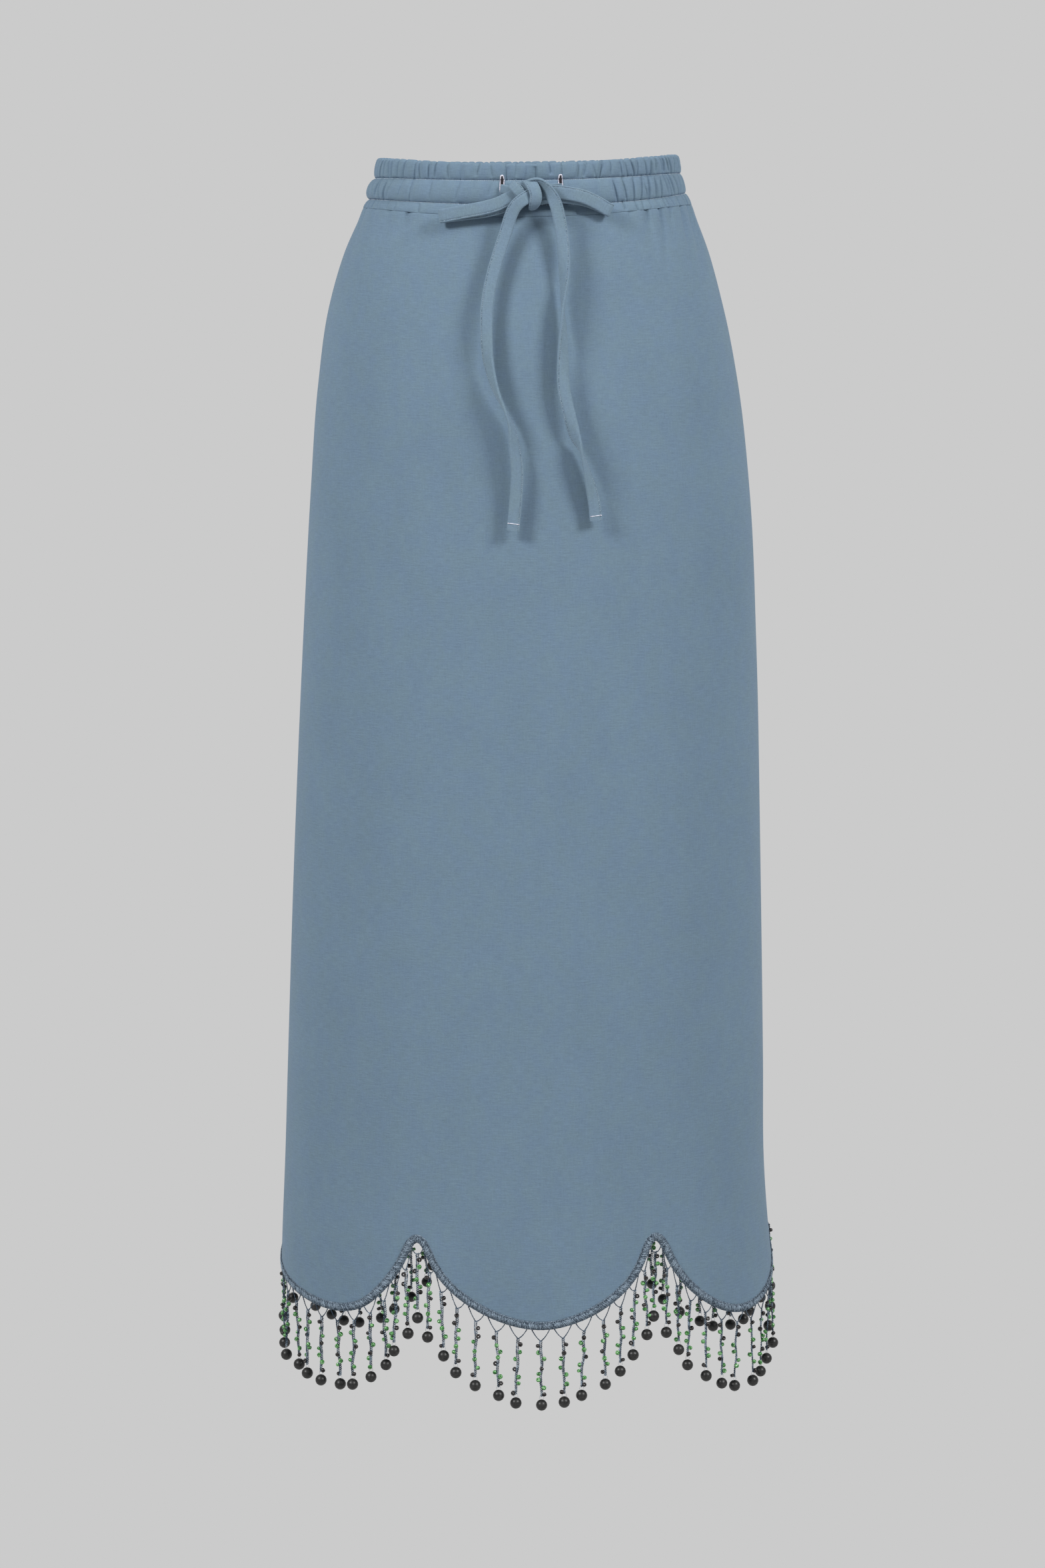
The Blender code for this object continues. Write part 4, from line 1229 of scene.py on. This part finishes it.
def build_fringe(side):
    """All strands of one panel, made piece by piece."""
    edge, path, places = strand_places(side)
    ends = (path[0] + THREAD_PAIR_GAP / 2, path[-1] - THREAD_PAIR_GAP / 2)

    def point_at(place, up=0.0):
        place = min(max(place, ends[0]), ends[1])
        arc, drop = (np.interp(place, path, edge[:, k]) for k in range(2))
        return hem_points(arc, drop - up, TRIM_MIDDLE)[0]

    draws = np.random.default_rng(53 if side == "front" else 59)
    spaces = np.diff(places, prepend=places[0] - STRAND_PITCH, append=places[-1] + STRAND_PITCH)
    threads, clear, balls = [], [], []
    loops = {"at": [], "along": [], "out": []}
    seeds = {"B": ([], [], []), "G": ([], [], [])}
    for number, place in enumerate(places):
        top = point_at(place)
        angle = np.interp(np.interp(place, path, edge[:, 0]), HEM_ARCS, HEM_ANGLES)
        out = outward(angle, np.array(HEM_RING_DROP))
        from_seam = (angle - math.radians(PEAKS["front"][-1])) / SEAM_PUSH_SPREAD
        push = SEAM_PUSH * math.exp(-from_seam ** 2)
        joint = top + push * out - (0, 0, THREAD_FALL)
        sway = STRAND_SWAY * math.sin(2.3 * number)
        bead = top + push * out + np.array((sway, 0.5 * sway, -BEAD_FALL))
        level = np.cross(out, UP)
        for way, space in ((-1, spaces[number]), (1, spaces[number + 1])):
            share = np.linspace(0, 1, 12)[:, None]
            root = point_at(place + way * (space - THREAD_PAIR_GAP) / 2, THREAD_ROOT)
            line = root + (joint - root) * share - THREAD_SAG * UP * np.sin(math.pi * share)
            threads += twisted(line, TWIST_RADIUS, TWIST_TURNS)
        low = bead + (0, 0, CLEAR_LOOP)
        share = np.linspace(0, 1, 29)[:, None]
        cord = joint + (low - joint) * share
        wave = np.sin(share * 3.1 * math.pi + draws.uniform(0, 6)) * draws.uniform(0.0004, 0.0011)
        cord = cord + wave * level * np.sin(math.pi * share)
        way = unit(np.gradient(cord, axis=0))
        for turn in (-1, 1):
            spread = (0.0008 - 0.0003 * share) * turn
            loops["at"].append(cord + spread * level + 0.0003 * turn * out)
            loops["along"].append(unit(way - 0.55 * turn * level + 0.2 * out))
            loops["out"].append(np.repeat(out[None], len(cord), 0))
        order = BEAD_ORDERS[int(draws.integers(len(BEAD_ORDERS)))]
        spots = np.linspace(0.10, 0.97, len(order)) + draws.uniform(-0.03, 0.03, len(order))
        for k, (colour, spot) in enumerate(zip(order, spots)):
            centre = np.array([np.interp(spot, share[:, 0], cord[:, axis]) for axis in range(3)])
            hand = (-1 if (k // 2 + number) % 2 else 1) if draws.random() < 0.85 else 0
            around = draws.uniform(-0.5, 0.5)
            offset = hand * SEED_ASIDE * (math.cos(around) * level + math.sin(around) * out)
            offset = offset + (SEED_PROUD * out if hand == 0 else 0)
            at, along, face = seeds[colour]
            at.append(centre + offset)
            along.append(unit(level + draws.uniform(-0.5, 0.5) * UP))
            face.append(unit(out * draws.uniform(0.1, 0.7) + UP * draws.uniform(-0.8, 0.8)
                             + level * draws.uniform(-0.6, 0.6)))
        ring_top = low[None] + (0, 0, 0.001)
        for way in (-1, 1):
            drop_line = np.linspace(0, 1, 8)[:, None]
            bulge = np.sin(math.pi * drop_line) * 0.0014 * way + way * 0.0004
            clear.append(ring_top + (bead + (0, 0, BEAD_RADIUS * 0.6) - ring_top) * drop_line
                         + bulge * level)
        balls.append(bead)

    threads = yarn_object(side + "_fringe_threads", threads, THREAD_RADIUS, MELANGE, seed=61)
    at, along, face = (np.concatenate(loops[key]) for key in ("at", "along", "out"))
    crochet = repeated(side + "_fringe_crochet", "stitch", at, along, face, MELANGE,
                       *CROCHET_STITCH, variation=0.15, seed=67,
                       tints=draws.uniform(-0.12, 0.42, len(at)))
    clear_loops = yarn_object(side + "_fringe_clear_loops", clear, NYLON_RADIUS, NYLON, sides=4)
    large = repeated(side + "_fringe_large_beads", "ball", balls, (1, 0, 0), (0, 0, 1), BLACK_BEAD,
                     2 * BEAD_RADIUS, 2 * BEAD_RADIUS, 2 * BEAD_RADIUS, variation=0.02)
    for colour, label, material, slot in (("B", "black", BLACK_SEED, "black_bead"),
                                          ("G", "green", GREEN_SEED_PAINTED_GLINTS, "green_bead")):
        at, along, face = seeds[colour]
        repeated(f"{side}_fringe_{label}_seeds", "ring", at, along, face, material,
                                *SEED_SIZE, variation=0.08, seed=71)
    at, along, face = seeds["G"]
    repeated(side + "_fringe_silvered_holes", "stitch", at, along, face, SILVER,
                            *HOLE_SIZE, variation=0.05)


for side in PEAKS:
    build_fringe(side)

# Studio
# The skirt hangs clear of a pale grey sweep, between two soft boxes that stand
# in front of it, high on the left and the right, with a soft fill all round.
BACKDROP_GREY = 0.597
FLOOR_DROP = 0.30


def build_sweep():
    """A floor that widens and curves up into a backdrop far behind the skirt.

    Its profile has places from front to back, heights and half widths.
    """
    floor_z = cad_box[0].z - FLOOR_DROP
    turns = np.linspace(-math.pi / 2, 0, 16)
    profile = [(-5.0, floor_z, 5.0), (2.0, floor_z, 5.0)]
    profile += [(5.0 + 3.0 * math.cos(t), floor_z + 3.0 + 3.0 * math.sin(t), 11.0) for t in turns]
    profile += [(8.0, floor_z + 13.5, 11.0)]
    points = np.array([[(x, y, z) for x in (half, -half)] for y, z, half in profile])
    uvs = np.zeros((*points.shape[:2], 2))
    grey, _, shader = start_material("backdrop", 1.0, Specular_IOR_Level=0.0,
                                     Emission_Strength=1.0)
    shader.inputs["Base Color"].default_value = (0.0, 0.0, 0.0, 1)
    shader.inputs["Emission Color"].default_value = (BACKDROP_GREY,) * 3 + (1,)
    return grid_object("studio_sweep", points, uvs, grey)


build_sweep()


def soft_box(name, place, aim, size, watts):
    """A large square lamp that faces a point."""
    lamp = bpy.data.lights.new(name, "AREA")
    lamp.size = size
    lamp.energy = watts
    made = bpy.data.objects.new(name, lamp)
    made.location = place
    made.rotation_euler = (Vector(aim) - Vector(place)).to_track_quat("-Z", "Y").to_euler()
    bpy.context.scene.collection.objects.link(made)


for name, x in (("left", -2.95), ("right", 2.95)):
    soft_box("soft_box_" + name, (x, -2.3, 2.2), (0, 0, -0.60), size=1.1, watts=136)
world = bpy.data.worlds.new("studio_air")
world.use_nodes = True
air = world.node_tree.nodes["Background"].inputs
air["Color"].default_value = (0.9, 0.95, 1.0, 1)
air["Strength"].default_value = 0.28
bpy.context.scene.world = world
bpy.context.scene.view_settings.view_transform = "Standard"
